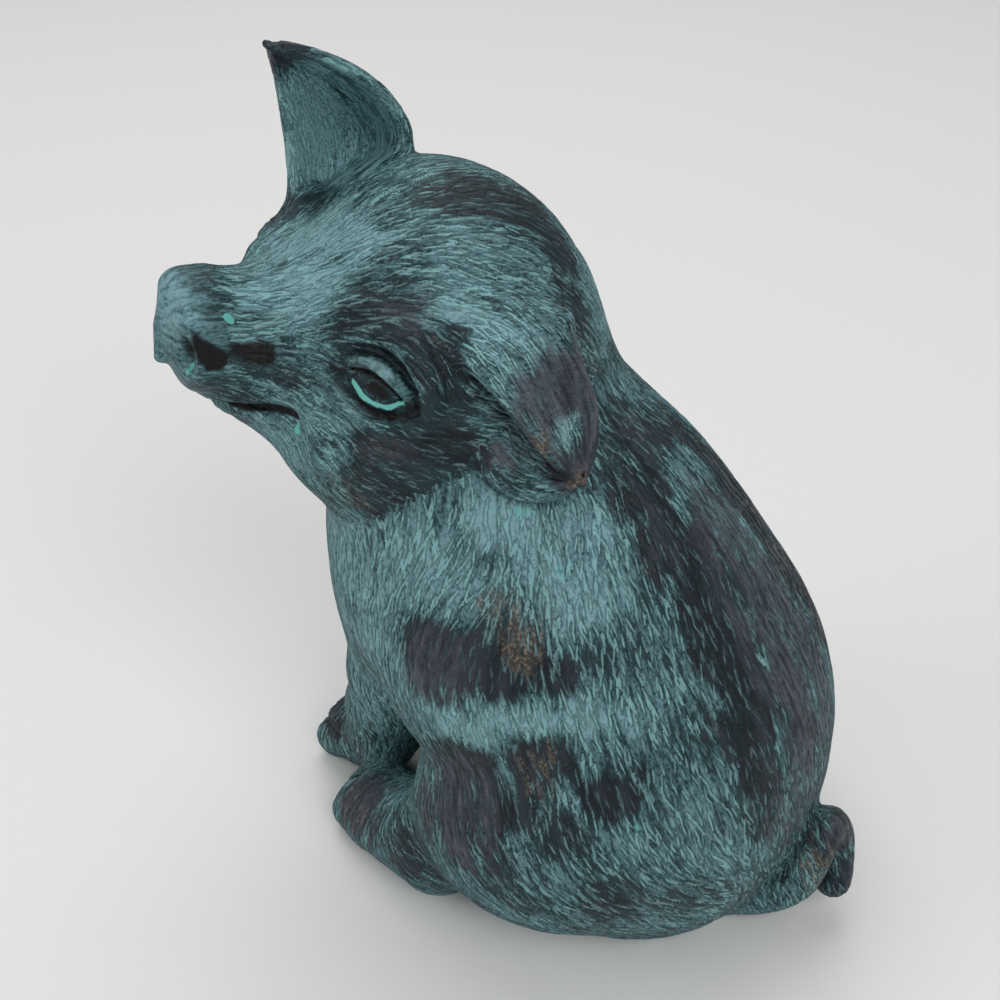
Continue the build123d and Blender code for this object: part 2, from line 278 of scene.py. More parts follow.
@dataclass(frozen=True)
class Torso:
    """Belly, chest, shoulders, neck, flanks and haunches."""

    belly: Triple = (0, 15.8, 38.6)
    belly_radii: Triple = (47.0, 40.9, 51.7)
    belly_tilt: float = 11.2
    chest: Triple = (0, -11.1, 72.2)
    chest_radii: Triple = (38.9, 45.3, 41.4)
    chest_tilt: float = 17.1
    shoulder: Triple = (0, -21.2, 89.6)
    shoulder_radii: Triple = (30.1, 26.9, 26.2)
    neck_top: Triple = (-1.0, -27.6, 112.4)
    neck_radius: float = 27.0
    flank: Triple = (24.3, -5.0, 63.4)
    flank_radii: Triple = (20.6, 25.7, 27.7)
    haunch: Triple = (27.8, 8.6, 30.4)
    haunch_radii: Triple = (25.0, 31.2, 26.0)
    haunch_tilt: float = 11.0
    fillet: float = 14.0
    neck_fillet: float = 12.0
    flank_fillet: float = 8.0
    haunch_fillet: float = 4.0
    box: tuple[Triple, Triple] = ((-56, -62, -3), (56, 62, 124))

    def distance(self, points: Array) -> Array:
        """Distance to the torso."""
        total = ball(points, self.belly, self.belly_radii, tilt_forward(self.belly_tilt))
        chest = ball(points, self.chest, self.chest_radii, tilt_forward(self.chest_tilt))
        total = blend(total, chest, self.fillet)
        total = blend(total, ball(points, self.shoulder, self.shoulder_radii), self.fillet)
        neck = rod(points, self.shoulder, self.neck_top, self.neck_radius, self.neck_radius)
        total = blend(total, neck, self.neck_fillet)
        for side in (1, -1):
            mirror = np.array([side, 1, 1], np.float32)
            total = blend(total, ball(points, self.flank * mirror, self.flank_radii), self.flank_fillet)
            haunch = ball(points, self.haunch * mirror, self.haunch_radii, tilt_forward(self.haunch_tilt))
            total = blend(total, haunch, self.haunch_fillet)
        return total


@dataclass(frozen=True)
class Foreleg:
    """One foreleg down to its cloven toes."""

    side: int = 1
    path: Path = ((19.0, -28.0, 72.0), (15.4, -36.2, 41.8), (12.8, -42.8, 16.5), (10.9, -45.6, 11.9))
    radii: tuple[float, ...] = (16.0, 11.1, 8.4, 7.8)
    toe: Triple = (10.2, -49.2, 9.2)
    toe_radii: Triple = (8.3, 12.1, 9.6)
    hoof_radii: Triple = (3.9, 5.6, 5.4)
    cleft_radii: Triple = (0.7, 6.6, 9.0)
    knee: Triple = (14.2, -43.5, 26.0)
    knee_radii: Triple = (7.6, 7.0, 8.0)
    hoof_ring: Path = (
        (2.6, -52.0, 13.0),
        (6.0, -58.0, 12.0),
        (10.0, -60.6, 11.2),
        (14.6, -58.4, 11.6),
        (18.2, -52.0, 12.2),
    )
    ring_radius: float = 0.55
    box: tuple[Triple, Triple] = ((-2, -66, -3), (40, -14, 74))

    def distance(self, points: Array) -> Array:
        """Distance to the leg, worked out on the left side and mirrored."""
        q = points * np.array([self.side, 1, 1], np.float32)
        total = rope(q, list(self.path), list(self.radii), 4.0)
        total = blend(total, ball(q, self.knee, self.knee_radii), 4.0)
        toes = ball(q, self.toe, self.toe_radii)
        for x in (-2.6, 2.8):
            hoof = (self.toe[0] + x, self.toe[1] - 8.2, self.toe[2] - 3.4)
            toes = blend(toes, ball(q, hoof, self.hoof_radii), 1.6)
        cleft = ball(q, (self.toe[0], self.toe[1] - 12.4, self.toe[2] - 3.0), self.cleft_radii)
        total = blend(total, toes, 3.0)
        ring = curve_through(list(self.hoof_ring), 3)
        total = carve(total, rope(q, ring, [self.ring_radius] * len(ring), 0.3), 1.2)
        return carve(total, cleft, 1.0)


@dataclass(frozen=True)
class HindFoot:
    """One hind foot, turned out a little, with cloven toes."""

    side: int = 1
    heel: Triple = (32.5, -16.5, 12.6)
    ball_of_foot: Triple = (29.6, -33.4, 7.0)
    heel_radius: float = 13.2
    ball_radius: float = 9.0
    toe: Triple = (27.2, -32.6, 8.0)
    toe_radii: Triple = (9.6, 13.0, 8.6)
    hoof_radii: Triple = (4.4, 5.6, 5.0)
    cleft_radii: Triple = (0.8, 8.0, 9.0)
    box: tuple[Triple, Triple] = ((12, -52, -3), (54, 2, 34))

    def distance(self, points: Array) -> Array:
        """Distance to the foot, worked out on the left side and mirrored."""
        q = points * np.array([self.side, 1, 1], np.float32)
        total = rod(q, self.heel, self.ball_of_foot, self.heel_radius, self.ball_radius)
        toes = ball(q, self.toe, self.toe_radii)
        for x in (-3.2, 3.4):
            hoof = (self.toe[0] + x, self.toe[1] - 8.4, self.toe[2] - 2.6)
            toes = blend(toes, ball(q, hoof, self.hoof_radii), 1.8)
        cleft = ball(q, (self.toe[0] + 0.2, self.toe[1] - 13.0, self.toe[2] - 1.0), self.cleft_radii)
        return carve(blend(total, toes, 3.0), cleft, 1.0)


@dataclass(frozen=True)
class Tail:
    """Short tail that leaves the rump, rises and curls over to its tip."""

    path: Path = (
        (10.0, 44.0, 6.6),
        (8.6, 50.6, 7.4),
        (7.6, 55.4, 11.0),
        (6.6, 58.2, 16.4),
        (4.8, 59.2, 21.4),
        (1.2, 59.8, 24.4),
        (-2.2, 61.2, 21.6),
        (-2.4, 62.6, 15.6),
        (1.2, 63.6, 9.8),
    )
    radii: tuple[float, ...] = (6.6, 5.3, 4.8, 4.5, 4.2, 3.9, 3.6, 3.6, 4.0)
    ridge: Path = ((11.4, 53.6, 12.0), (10.4, 57.2, 17.0), (8.0, 58.2, 22.4), (2.6, 58.4, 26.6))
    ridge_radii: tuple[float, ...] = (0.9, 1.0, 1.0, 0.7)
    box: tuple[Triple, Triple] = ((-10, 40, -2), (22, 74, 32))

    def distance(self, points: Array) -> Array:
        """Distance to the tail."""
        places = curve_through(list(self.path), 3)
        radii = np.interp(np.linspace(0, 1, len(places)), np.linspace(0, 1, len(self.radii)), self.radii)
        total = rope(points, places, list(radii), 0.8)
        ridge = rope(points, list(self.ridge), list(self.ridge_radii), 0.6)
        return blend(total, ridge, 1.4)


@dataclass(frozen=True)
class Ear:
    """Ear as a thick sheet between front rim, fold and back rim, each a curve through four places."""

    front: Path
    fold: Path
    back: Path
    hump: Path
    hump_radii: tuple[float, ...]
    root_thickness: float = 4.4
    tip_thickness: float = 2.3
    rim_share: float = 0.74
    embed: float = -0.14
    box: tuple[Triple, Triple] = ((0, 0, 0), (0, 0, 0))

    def powers(self) -> Array:
        """Coefficients of u for the front rim, the fold's control line and the back rim."""
        steps = np.array([0, 1 / 3, 2 / 3, 1.0])
        solve = np.linalg.inv(np.vander(steps, 4, increasing=True))
        front, fold, back = (solve @ np.array(row, float) for row in (self.front, self.fold, self.back))
        return np.stack([front, 2 * fold - (front + back) / 2, back]).astype(np.float32)

    def sheet(self, u: Array, v: Array, rows: Array) -> tuple[Array, Array, Array]:
        """Place on the sheet and its two slopes.

        Args:
            u: Share of the way from the root to the tip.
            v: Share of the way from the front rim to the back rim.
            rows: Coefficients from powers().

        Returns:
            The place, its slope along u and its slope along v.
        """
        one = np.ones_like(u)
        along = np.stack([one, u, u * u, u * u * u], 1)
        slope = np.stack([0 * one, one, 2 * u, 3 * u * u], 1)
        edges, edge_slopes = [along @ r for r in rows], [slope @ r for r in rows]
        w = 1 - v
        mix = [(w * w)[:, None], (2 * v * w)[:, None], (v * v)[:, None]]
        turn = [(-2 * w)[:, None], (2 * w - 2 * v)[:, None], (2 * v)[:, None]]
        place = sum(m * e for m, e in zip(mix, edges))
        du = sum(m * e for m, e in zip(mix, edge_slopes))
        dv = sum(t * e for t, e in zip(turn, edges))
        return place, du, dv

    def nearest(self, local: Array) -> tuple[Array, Array, Array]:
        """Nearest place on the sheet for each head-local point.

        Args:
            local: Points as forward, left and up on the head.

        Returns:
            Distance to the sheet and the nearest place's u and v.
        """
        rows = self.powers()
        gu, gv = np.meshgrid(np.linspace(self.embed, 1, 12), np.linspace(0, 1, 9), indexing="ij")
        gu, gv = gu.ravel().astype(np.float32), gv.ravel().astype(np.float32)
        marks = self.sheet(gu, gv, rows)[0]
        u, v = np.empty(len(local), np.float32), np.empty(len(local), np.float32)
        for i in range(0, len(local), 100_000):
            part = local[i : i + 100_000]
            gaps = (part * part).sum(1)[:, None] - 2 * part @ marks.T + (marks * marks).sum(1)
            pick = gaps.argmin(1)
            u[i : i + 100_000], v[i : i + 100_000] = gu[pick], gv[pick]
        for _ in range(5):
            place, du, dv = self.sheet(u, v, rows)
            gap = local - place
            a, b, c = (du * du).sum(1), (du * dv).sum(1), (dv * dv).sum(1)
            p, q = (du * gap).sum(1), (dv * gap).sum(1)
            scale = a * c - b * b + 0.05 * (a + c) + 1e-6
            u = np.clip(u + np.clip((c * p - b * q) / scale, -0.2, 0.2), self.embed, 1)
            v = np.clip(v + np.clip((a * q - b * p) / scale, -0.2, 0.2), 0, 1)
        return length_of(local - self.sheet(u, v, rows)[0]), u, v

    def distance(self, points: Array) -> tuple[Array, Array]:
        """Distance to the ear, with the nearest place's u.

        Args:
            points: Places to measure from.

        Returns:
            Distance to the thick sheet and u.
        """
        local = HeadSeat().local(points)
        total = np.full(len(points), 20.0, np.float32)
        u, v = np.ones(len(points), np.float32), np.full(len(points), 0.5, np.float32)
        marks = np.array(self.front + self.fold + self.back, np.float32)
        low, high = marks.min(0) - 9, marks.max(0) + 9
        near = np.flatnonzero(((local > low) & (local < high)).all(1))
        if len(near):
            gap, u[near], v[near] = self.nearest(local[near])
            edge = np.abs(2 * v[near] - 1)
            thick = self.root_thickness + (self.tip_thickness - self.root_thickness) * np.clip(u[near], 0, 1)
            sheet = gap - 0.5 * thick * (1 - (1 - self.rim_share) * ease(edge, 0.2, 1.0))
            total[near] = blend(sheet, rope(local[near], list(self.hump), list(self.hump_radii), 1.0), 3.0)
        return total, u

    def lie(self, points: Array) -> Array:
        """Direction from the root to the tip along the sheet at each place."""
        seat = HeadSeat()
        _, u, v = self.nearest(seat.local(points))
        return unit(self.sheet(u, v, self.powers())[1]) @ seat.axes().T


LEFT_EAR = Ear(
    front=((10.2, 31.4, 15.0), (7.1, 39.3, 13.4), (1.3, 45.2, 5.9), (-7.7, 48.4, -3.4)),
    fold=((-2.6, 27.3, 18.2), (-9.3, 34.7, 13.1), (-12.1, 41.1, 4.6), (-7.9, 48.3, -3.4)),
    back=((6.0, 38.1, -4.9), (2.6, 43.5, -7.2), (-2.4, 47.8, -6.0), (-7.8, 48.4, -3.5)),
    hump=((2.0, 25.0, 18.0), (-3.0, 27.4, 18.8), (-8.6, 29.4, 18.6), (-10.0, 34.0, 13.6)),
    hump_radii=(2.6, 3.0, 2.7, 1.6),
    embed=-0.1,
    box=((2, -32, 96), (46, 18, 152)),
)
RIGHT_EAR = Ear(
    front=((22.6, -21.7, 17.4), (23.3, -25.6, 28.5), (26.5, -23.6, 40.1), (30.9, -18.0, 50.8)),
    fold=((9.5, -26.6, 18.5), (8.1, -30.8, 27.3), (16.9, -27.0, 39.6), (31.1, -18.0, 50.8)),
    back=((4.1, -16.3, 28.3), (5.3, -18.4, 36.6), (15.9, -18.4, 45.7), (31.3, -18.0, 50.8)),
    hump=((13.0, -25.0, 17.5), (9.0, -29.0, 19.0), (5.8, -31.6, 19.9)),
    hump_radii=(3.0, 2.9, 2.5),
    box=((-26, -74, 128), (20, -36, 180)),
)


@dataclass(frozen=True)
class Head:
    """Skull, cheeks, brows, snout, jaw, eyes, nostrils and mouth, in forward, left and up."""

    skull: Triple = (0.8, 0.7, -0.3)
    skull_radii: Triple = (31.5, 36.4, 32.05)
    cheek: Triple = (12.9, 13.6, -13.1)
    cheek_radii: Triple = (22.3, 17.7, 17.6)
    brow: Triple = (20.8, 14.4, 8.5)
    brow_radii: Triple = (9.7, 8.5, 7.0)
    snout_root: Triple = (19.6, 0, -3.05)
    snout_tip: Triple = (46.9, 0, 6.26)
    snout_radii: tuple[float, float] = (21.4, 10.3)
    disc_front: float = 55.6
    disc_radius: float = 12.3
    disc_slope: float = 0.12
    disc_dome: float = 0.02
    jaw_root: Triple = (8.2, 0, -20.2)
    jaw_tip: Triple = (37.0, 0, -8.7)
    jaw_radii: tuple[float, float] = (16.0, 6.5)
    nostril: Triple = (54.0, 8.4, 7.2)
    nostril_radii: Triple = (3.4, 2.3, 3.8)
    eye: Triple = (23.4, 25.2, 6.9)
    eye_long: Triple = (-0.742, 0.635, -0.214)
    eye_out: Triple = (0.588, 0.770, 0.247)
    brow_ridge: Path = (
        (33.1, 12.5, 13.1),
        (25.3, 15.7, 17.3),
        (20.5, 21.2, 17.5),
        (18.3, 25.5, 15.0),
        (17.0, 29.5, 10.2),
    )
    brow_groove: Path = ((30.5, 18.1, 11.0), (25.1, 21.3, 13.7), (19.9, 26.2, 12.1), (17.9, 29.2, 9.2))
    mouth: Path = (
        (47.4, 0, -5.2),
        (46.0, 6.0, -5.1),
        (43.4, 9.0, -5.0),
        (41.0, 11.7, -3.9),
        (38.6, 14.1, -3.0),
        (36.1, 16.5, -3.1),
        (35.2, 17.6, -3.8),
    )
    lower_lip: Path = ((44.4, 0, -8.8), (42.6, 6.4, -7.6), (38.4, 12.2, -6.4))
    cheek_fold: Path = ((33.6, 20.2, -1.0), (31.8, 21.6, -5.6), (31.6, 20.8, -11.0))
    upper_arc: Arc = ((-7.2, 1.2), (-5.4, 2.9), (-3.1, 3.9), (-0.5, 3.8), (2.1, 3.0), (4.6, 1.6), (6.3, -0.3))
    lower_arc: Arc = ((-5.4, -0.2), (-3.6, -1.7), (-1.4, -2.8), (1.2, -3.0), (3.4, -2.3), (4.9, -0.6))
    slit_arc: Arc = ((-7.0, 0.2), (-5.4, 1.4), (-3.1, 2.2), (-0.5, 2.2), (2.1, 1.6), (4.3, 0.6), (6.2, -0.8))
    crease_arc: Arc = ((-8.6, 3.0), (-6.2, 5.2), (-2.6, 6.3), (1.2, 5.7), (4.5, 4.0), (7.2, 1.5), (8.2, -1.0))
    fold_arc: Arc = ((-10.6, 3.6), (-7.6, 7.2), (-2.4, 8.8), (3.0, 8.2), (7.4, 5.4), (10.0, 1.2), (10.0, -3.6))
    pouch_arc: Arc = ((-8.0, -3.2), (-4.4, -6.2), (1.2, -7.2), (6.4, -6.0), (9.2, -3.6))
    under_arc: Arc = ((-6.8, -1.6), (-3.8, -4.0), (0.4, -4.8), (4.4, -3.9), (6.8, -1.8))
    box: tuple[Triple, Triple] = ((-40, -84, 80), (56, 8, 158))

    def eye_axes(self) -> Array:
        """Along, up and out of the left eye, as columns."""
        along, out = np.array(self.eye_long), np.array(self.eye_out)
        out = out / np.linalg.norm(out)
        along = along - out * (along @ out)
        along /= np.linalg.norm(along)
        return np.stack([along, np.cross(out, along), out], 1).astype(np.float32)

    def on_eye(self, q: Array) -> Array:
        """Along, up and out from the left eye's centre for points on the head."""
        return (q - np.asarray(self.eye, np.float32)) @ self.eye_axes()

    def from_eye(self, path: list[Triple]) -> Path:
        """Places on the head for places given along, up and out from the left eye's centre."""
        places = np.asarray(self.eye) + np.array(path) @ self.eye_axes().T
        return tuple(tuple(float(c) for c in row) for row in places)

    def lid(self, arc: Arc, lift: float) -> list[Triple]:
        """Lid line over the eyeball.

        Args:
            arc: Corners as along and up from the eye's centre.
            lift: Height above the face.

        Returns:
            Places in the eye's own directions.
        """
        return curve_through([(x, y, lift - (x * x + y * y) / 24) for x, y in arc], 3)

    @lru_cache(maxsize=64)
    def on_skin(self, path: Path, lift: float) -> Path:
        """Smooth curve laid on the head's large forms.

        Args:
            path: Rough corners as forward, left and up.
            lift: How far the curve floats above the skin.

        Returns:
            Places along the curve.
        """
        places = np.array(curve_through(list(path), 3), np.float32)
        step = 0.4 * np.eye(3, dtype=np.float32)
        for _ in range(5):
            level = self.bulk(places) - lift
            slope = np.stack([self.bulk(places + s) - self.bulk(places - s) for s in step], 1) / 0.8
            places = places - slope * (level / (slope * slope).sum(1))[:, None]
        return tuple(tuple(float(c) for c in row) for row in places)

    def upper_lid(self) -> list[Triple]:
        """Upper lid's middle line in the eye's own directions."""
        return self.lid(self.upper_arc, 1.2)

    def lower_lid(self) -> list[Triple]:
        """Lower lid's middle line in the eye's own directions."""
        return self.lid(self.lower_arc, 0.9)

    def slit(self) -> Path:
        """Dark line under the upper lid."""
        return self.from_eye(self.lid(self.slit_arc, 0.7))

    def on_face(self, arc: Arc, lift: float) -> Path:
        """Curve on the skin round the eye.

        Args:
            arc: Corners as along and up from the eye's centre.
            lift: How far the curve floats above the skin.

        Returns:
            Places along the curve.
        """
        return self.on_skin(self.from_eye([(x, y, 0.0) for x, y in arc]), lift)

    def lid_crease(self) -> Path:
        """Crease between the upper lid and the brow, on the skin."""
        return self.on_face(self.crease_arc, 0.1)

    def add_eyes(self, total: Array, q: Array) -> Array:
        """Socket, eyeball, lids and the creases round them.

        Args:
            total: Distances to the head so far.
            q: Points as forward, left and up, with left made positive.

        Returns:
            Distances with both eyes.
        """
        near = np.flatnonzero((np.abs(q - np.asarray(self.eye, np.float32)) < 18).all(1))
        if not len(near):
            return total
        total = total.copy()
        spots, part = q[near], total[near]
        fold = self.on_face(self.fold_arc, 0.0)
        part = raise_rope(part, spots, list(fold), [1.3] * len(fold), 3.4)
        pouch = self.on_face(self.pouch_arc, -0.2)
        part = raise_rope(part, spots, list(pouch), [1.0] * len(pouch), 2.4)
        crease = self.lid_crease()
        part = press_rope(part, spots, list(crease), [0.45] * len(crease), 1.0)
        under = self.on_face(self.under_arc, 0.1)
        part = press_rope(part, spots, list(under), [0.7] * len(under), 1.2)
        e = self.on_eye(spots)
        part = carve(part, ball(e, (-0.3, 0.0, 1.0), (6.0, 3.4, 3.2)), 1.2)
        part = blend(part, ball(e, (-0.3, -0.2, -2.9), (5.4, 3.6, 3.9)), 0.3)
        upper = self.upper_lid()
        radii = [0.7, 0.9, 1.1, 1.25] + [1.3] * (len(upper) - 8) + [1.2, 1.0, 0.8, 0.6]
        part = raise_rope(part, e, upper, radii, 0.6)
        lower = self.lower_lid()
        part = raise_rope(part, e, lower, [0.5] + [0.62] * (len(lower) - 1), 0.4)
        slit = self.slit()
        part = press_rope(part, spots, list(slit), [0.42] * len(slit), 0.3)
        pupil = ball(e, (0.3, 0.1, 1.1), (1.7, 1.1, 0.6))
        total[near] = carve(part, pupil, 0.3)
        return total

    def bulk(self, h: Array) -> Array:
        """Distance to the head's large forms for points as forward, left and up."""
        total = ball(h, self.skull, self.skull_radii)
        for side in (1, -1):
            mirror = np.array([1, side, 1], np.float32)
            total = blend(total, ball(h, self.cheek * mirror, self.cheek_radii), 8)
            total = blend(total, ball(h, self.brow * mirror, self.brow_radii), 6)
        total = blend(total, rod(h, self.snout_root, self.snout_tip, *self.snout_radii), 10)
        front, rise = self.disc_front, self.snout_tip[2]
        disc = rod(h, (front - 7, 0, rise), (front + 4, 0, rise), self.disc_radius - 1.4, self.disc_radius)
        total = blend(total, disc, 4)
        back = self.disc_slope * np.clip(rise - h[:, 2], 0, None)
        back = back + self.disc_dome * np.minimum(h[:, 1] ** 2 + (h[:, 2] - rise) ** 2, 250)
        total = -blend(-total, front - back - h[:, 0], 2.8)
        return blend(total, rod(h, self.jaw_root, self.jaw_tip, *self.jaw_radii), 6)

    def distance(self, points: Array) -> Array:
        """Distance to the head without its ears."""
        h = HeadSeat().local(points)
        q = np.stack([h[:, 0], np.abs(h[:, 1]), h[:, 2]], 1)
        total = self.bulk(h)
        ridge, groove = self.on_skin(self.brow_ridge, -0.4), self.on_skin(self.brow_groove, 0.5)
        total = raise_rope(total, q, list(ridge), [1.7] * len(ridge), 4.5)
        total = press_rope(total, q, list(groove), [0.9] * len(groove), 3.2)
        total = self.add_nose(total, h, q)
        total = self.add_mouth(total, q)
        return self.add_eyes(total, q)

    def add_nose(self, total: Array, h: Array, q: Array) -> Array:
        """Dished nose disc with its rim, its septum and two nostrils.

        Args:
            total: Distances to the head so far.
            h: Points as forward, left and up.
            q: The same points with left made positive.

        Returns:
            Distances with the nose.
        """
        front, rise = self.disc_front, self.snout_tip[2]
        dish = (front + 1.3, 7.8, rise + 0.6)
        total = change_near(total, q, [dish], 12, lambda d, p: carve(d, ball(p, dish, (3.4, 4.0, 6.4)), 1.6))
        septum = [(front - 0.9, 0, rise + 9.6), (front - 0.2, 0, rise + 2.0), (front - 0.2, 0, rise - 5.0)]
        total = raise_rope(total, h, septum, [0.7, 1.0, 1.2], 1.8)
        total = change_near(
            total, q, [self.nostril], 9, lambda d, p: carve(d, ball(p, self.nostril, self.nostril_radii), 0.8)
        )
        notch = [(front - 1, 0, rise - 14.4), (front + 2, 0, rise - 11.6)]
        return press_rope(total, h, notch, [1.1, 1.1], 1.6)

    def add_mouth(self, total: Array, q: Array) -> Array:
        """Mouth line with its lower lip and the cheek fold behind its corner.

        Args:
            total: Distances to the head so far.
            q: Points as forward, left and up, with left made positive.

        Returns:
            Distances with the mouth.
        """
        lip = self.on_skin(self.lower_lip, -0.6)
        total = raise_rope(total, q, list(lip), [1.7] * len(lip), 2.2)
        above = self.on_skin(tuple((f, l, u + 2.6) for f, l, u in self.mouth[:5]), -0.5)
        total = raise_rope(total, q, list(above), [1.2] * len(above), 2.0)
        fold = self.on_skin(self.cheek_fold, -0.3)
        total = raise_rope(total, q, list(fold), [1.0] * len(fold), 3.4)
        line = self.on_skin(self.mouth, 0.1)
        stations = (0, 4, 9, len(line) - 3, len(line) - 1)
        radii = np.interp(np.arange(len(line)), stations, (0.6, 0.9, 1.1, 0.6, 0.3))
        return press_rope(total, q, list(line), list(radii), 0.7)


@dataclass(frozen=True)
class Figure:
    """The whole figurine as one flowing surface that the castings share."""

    torso: Torso = Torso()
    head: Head = Head()
    tail: Tail = Tail()
    lap: float = 0.35
    overlap: float = 1.5
    limb_fillet: float = 5
    tail_fillet: float = 3
    head_fillet: float = 8
    ear_fillet: float = 3.4
    pocket_centre: float = 18.5
    pocket_radii: tuple[float, float] = (24.15, 21.15)
    pocket_height: float = 4.6

    def forms(self) -> dict[str, object]:
        """Every casting's own form by its node's name."""
        return {
            "torso_shell": self.torso,
            "head_shell": self.head,
            "ear_left": LEFT_EAR,
            "ear_right": RIGHT_EAR,
            "tail": self.tail,
            "foreleg_left": Foreleg(1),
            "foreleg_right": Foreleg(-1),
            "hind_foot_left": HindFoot(1),
            "hind_foot_right": HindFoot(-1),
        }

    def box_of(self, name: str) -> tuple[Array, Array]:
        """Corners of the room that a casting fills."""
        low, high = (np.array(c, float) for c in self.forms()[name].box)
        if name.endswith("_right") and not name.startswith("ear"):
            low[0], high[0] = -high[0], -low[0]
        return low, high

    def casting(self, name: str, points: Array) -> Array:
        """Distance to one casting, cut from the shared surface.

        Args:
            name: The casting's node.
            points: Places to measure from.

        Returns:
            Distances, negative inside the casting.
        """
        low, high = self.box_of(name)
        own: dict[str, Array] = {}
        roots: dict[str, Array] = {}
        for other, form in self.forms().items():
            other_low, other_high = self.box_of(other)
            if (other_low - 10 > high).any() or (other_high + 10 < low).any():
                continue
            near = np.flatnonzero(((points > other_low - 10) & (points < other_high + 10)).all(1))
            own[other] = np.full(len(points), 99.0, np.float32)
            if isinstance(form, Ear):
                roots[other] = np.full(len(points), 0.05, np.float32)
                own[other][near], u = form.distance(points[near])
                roots[other][near] += self.ear_fillet * (1 - ease(u, 0.08, 0.5))
            else:
                own[other][near] = form.distance(points[near])
        total = own.get("torso_shell", np.full(len(points), 99.0, np.float32))
        for limb in ("foreleg_left", "foreleg_right", "hind_foot_left", "hind_foot_right"):
            if limb in own:
                total = blend(total, own[limb], self.limb_fillet)
        if "tail" in own:
            total = blend(total, own["tail"], self.tail_fillet)
        if "head_shell" in own:
            total = blend(total, own["head_shell"], self.head_fillet)
        for ear in roots:
            reach = np.clip(roots[ear] - np.abs(total - own[ear]), 0, None) / roots[ear]
            total = np.minimum(total, own[ear]) - reach * reach * roots[ear] * 0.25
        total = np.maximum(total, -points[:, 2])
        others = np.minimum.reduce([d for other, d in own.items() if other != name])
        side = (own[name] - others) / 2
        piece = np.maximum(total + self.lap * ease(side, -self.overlap, self.overlap), side - self.overlap)
        if name == "torso_shell":
            wide, deep = self.pocket_radii
            plate = np.hypot(points[:, 0] / wide, (points[:, 1] - self.pocket_centre) / deep) - 1
            pocket = np.maximum(plate * 21, points[:, 2] - self.pocket_height)
            piece = np.maximum(piece, -pocket)
        return piece


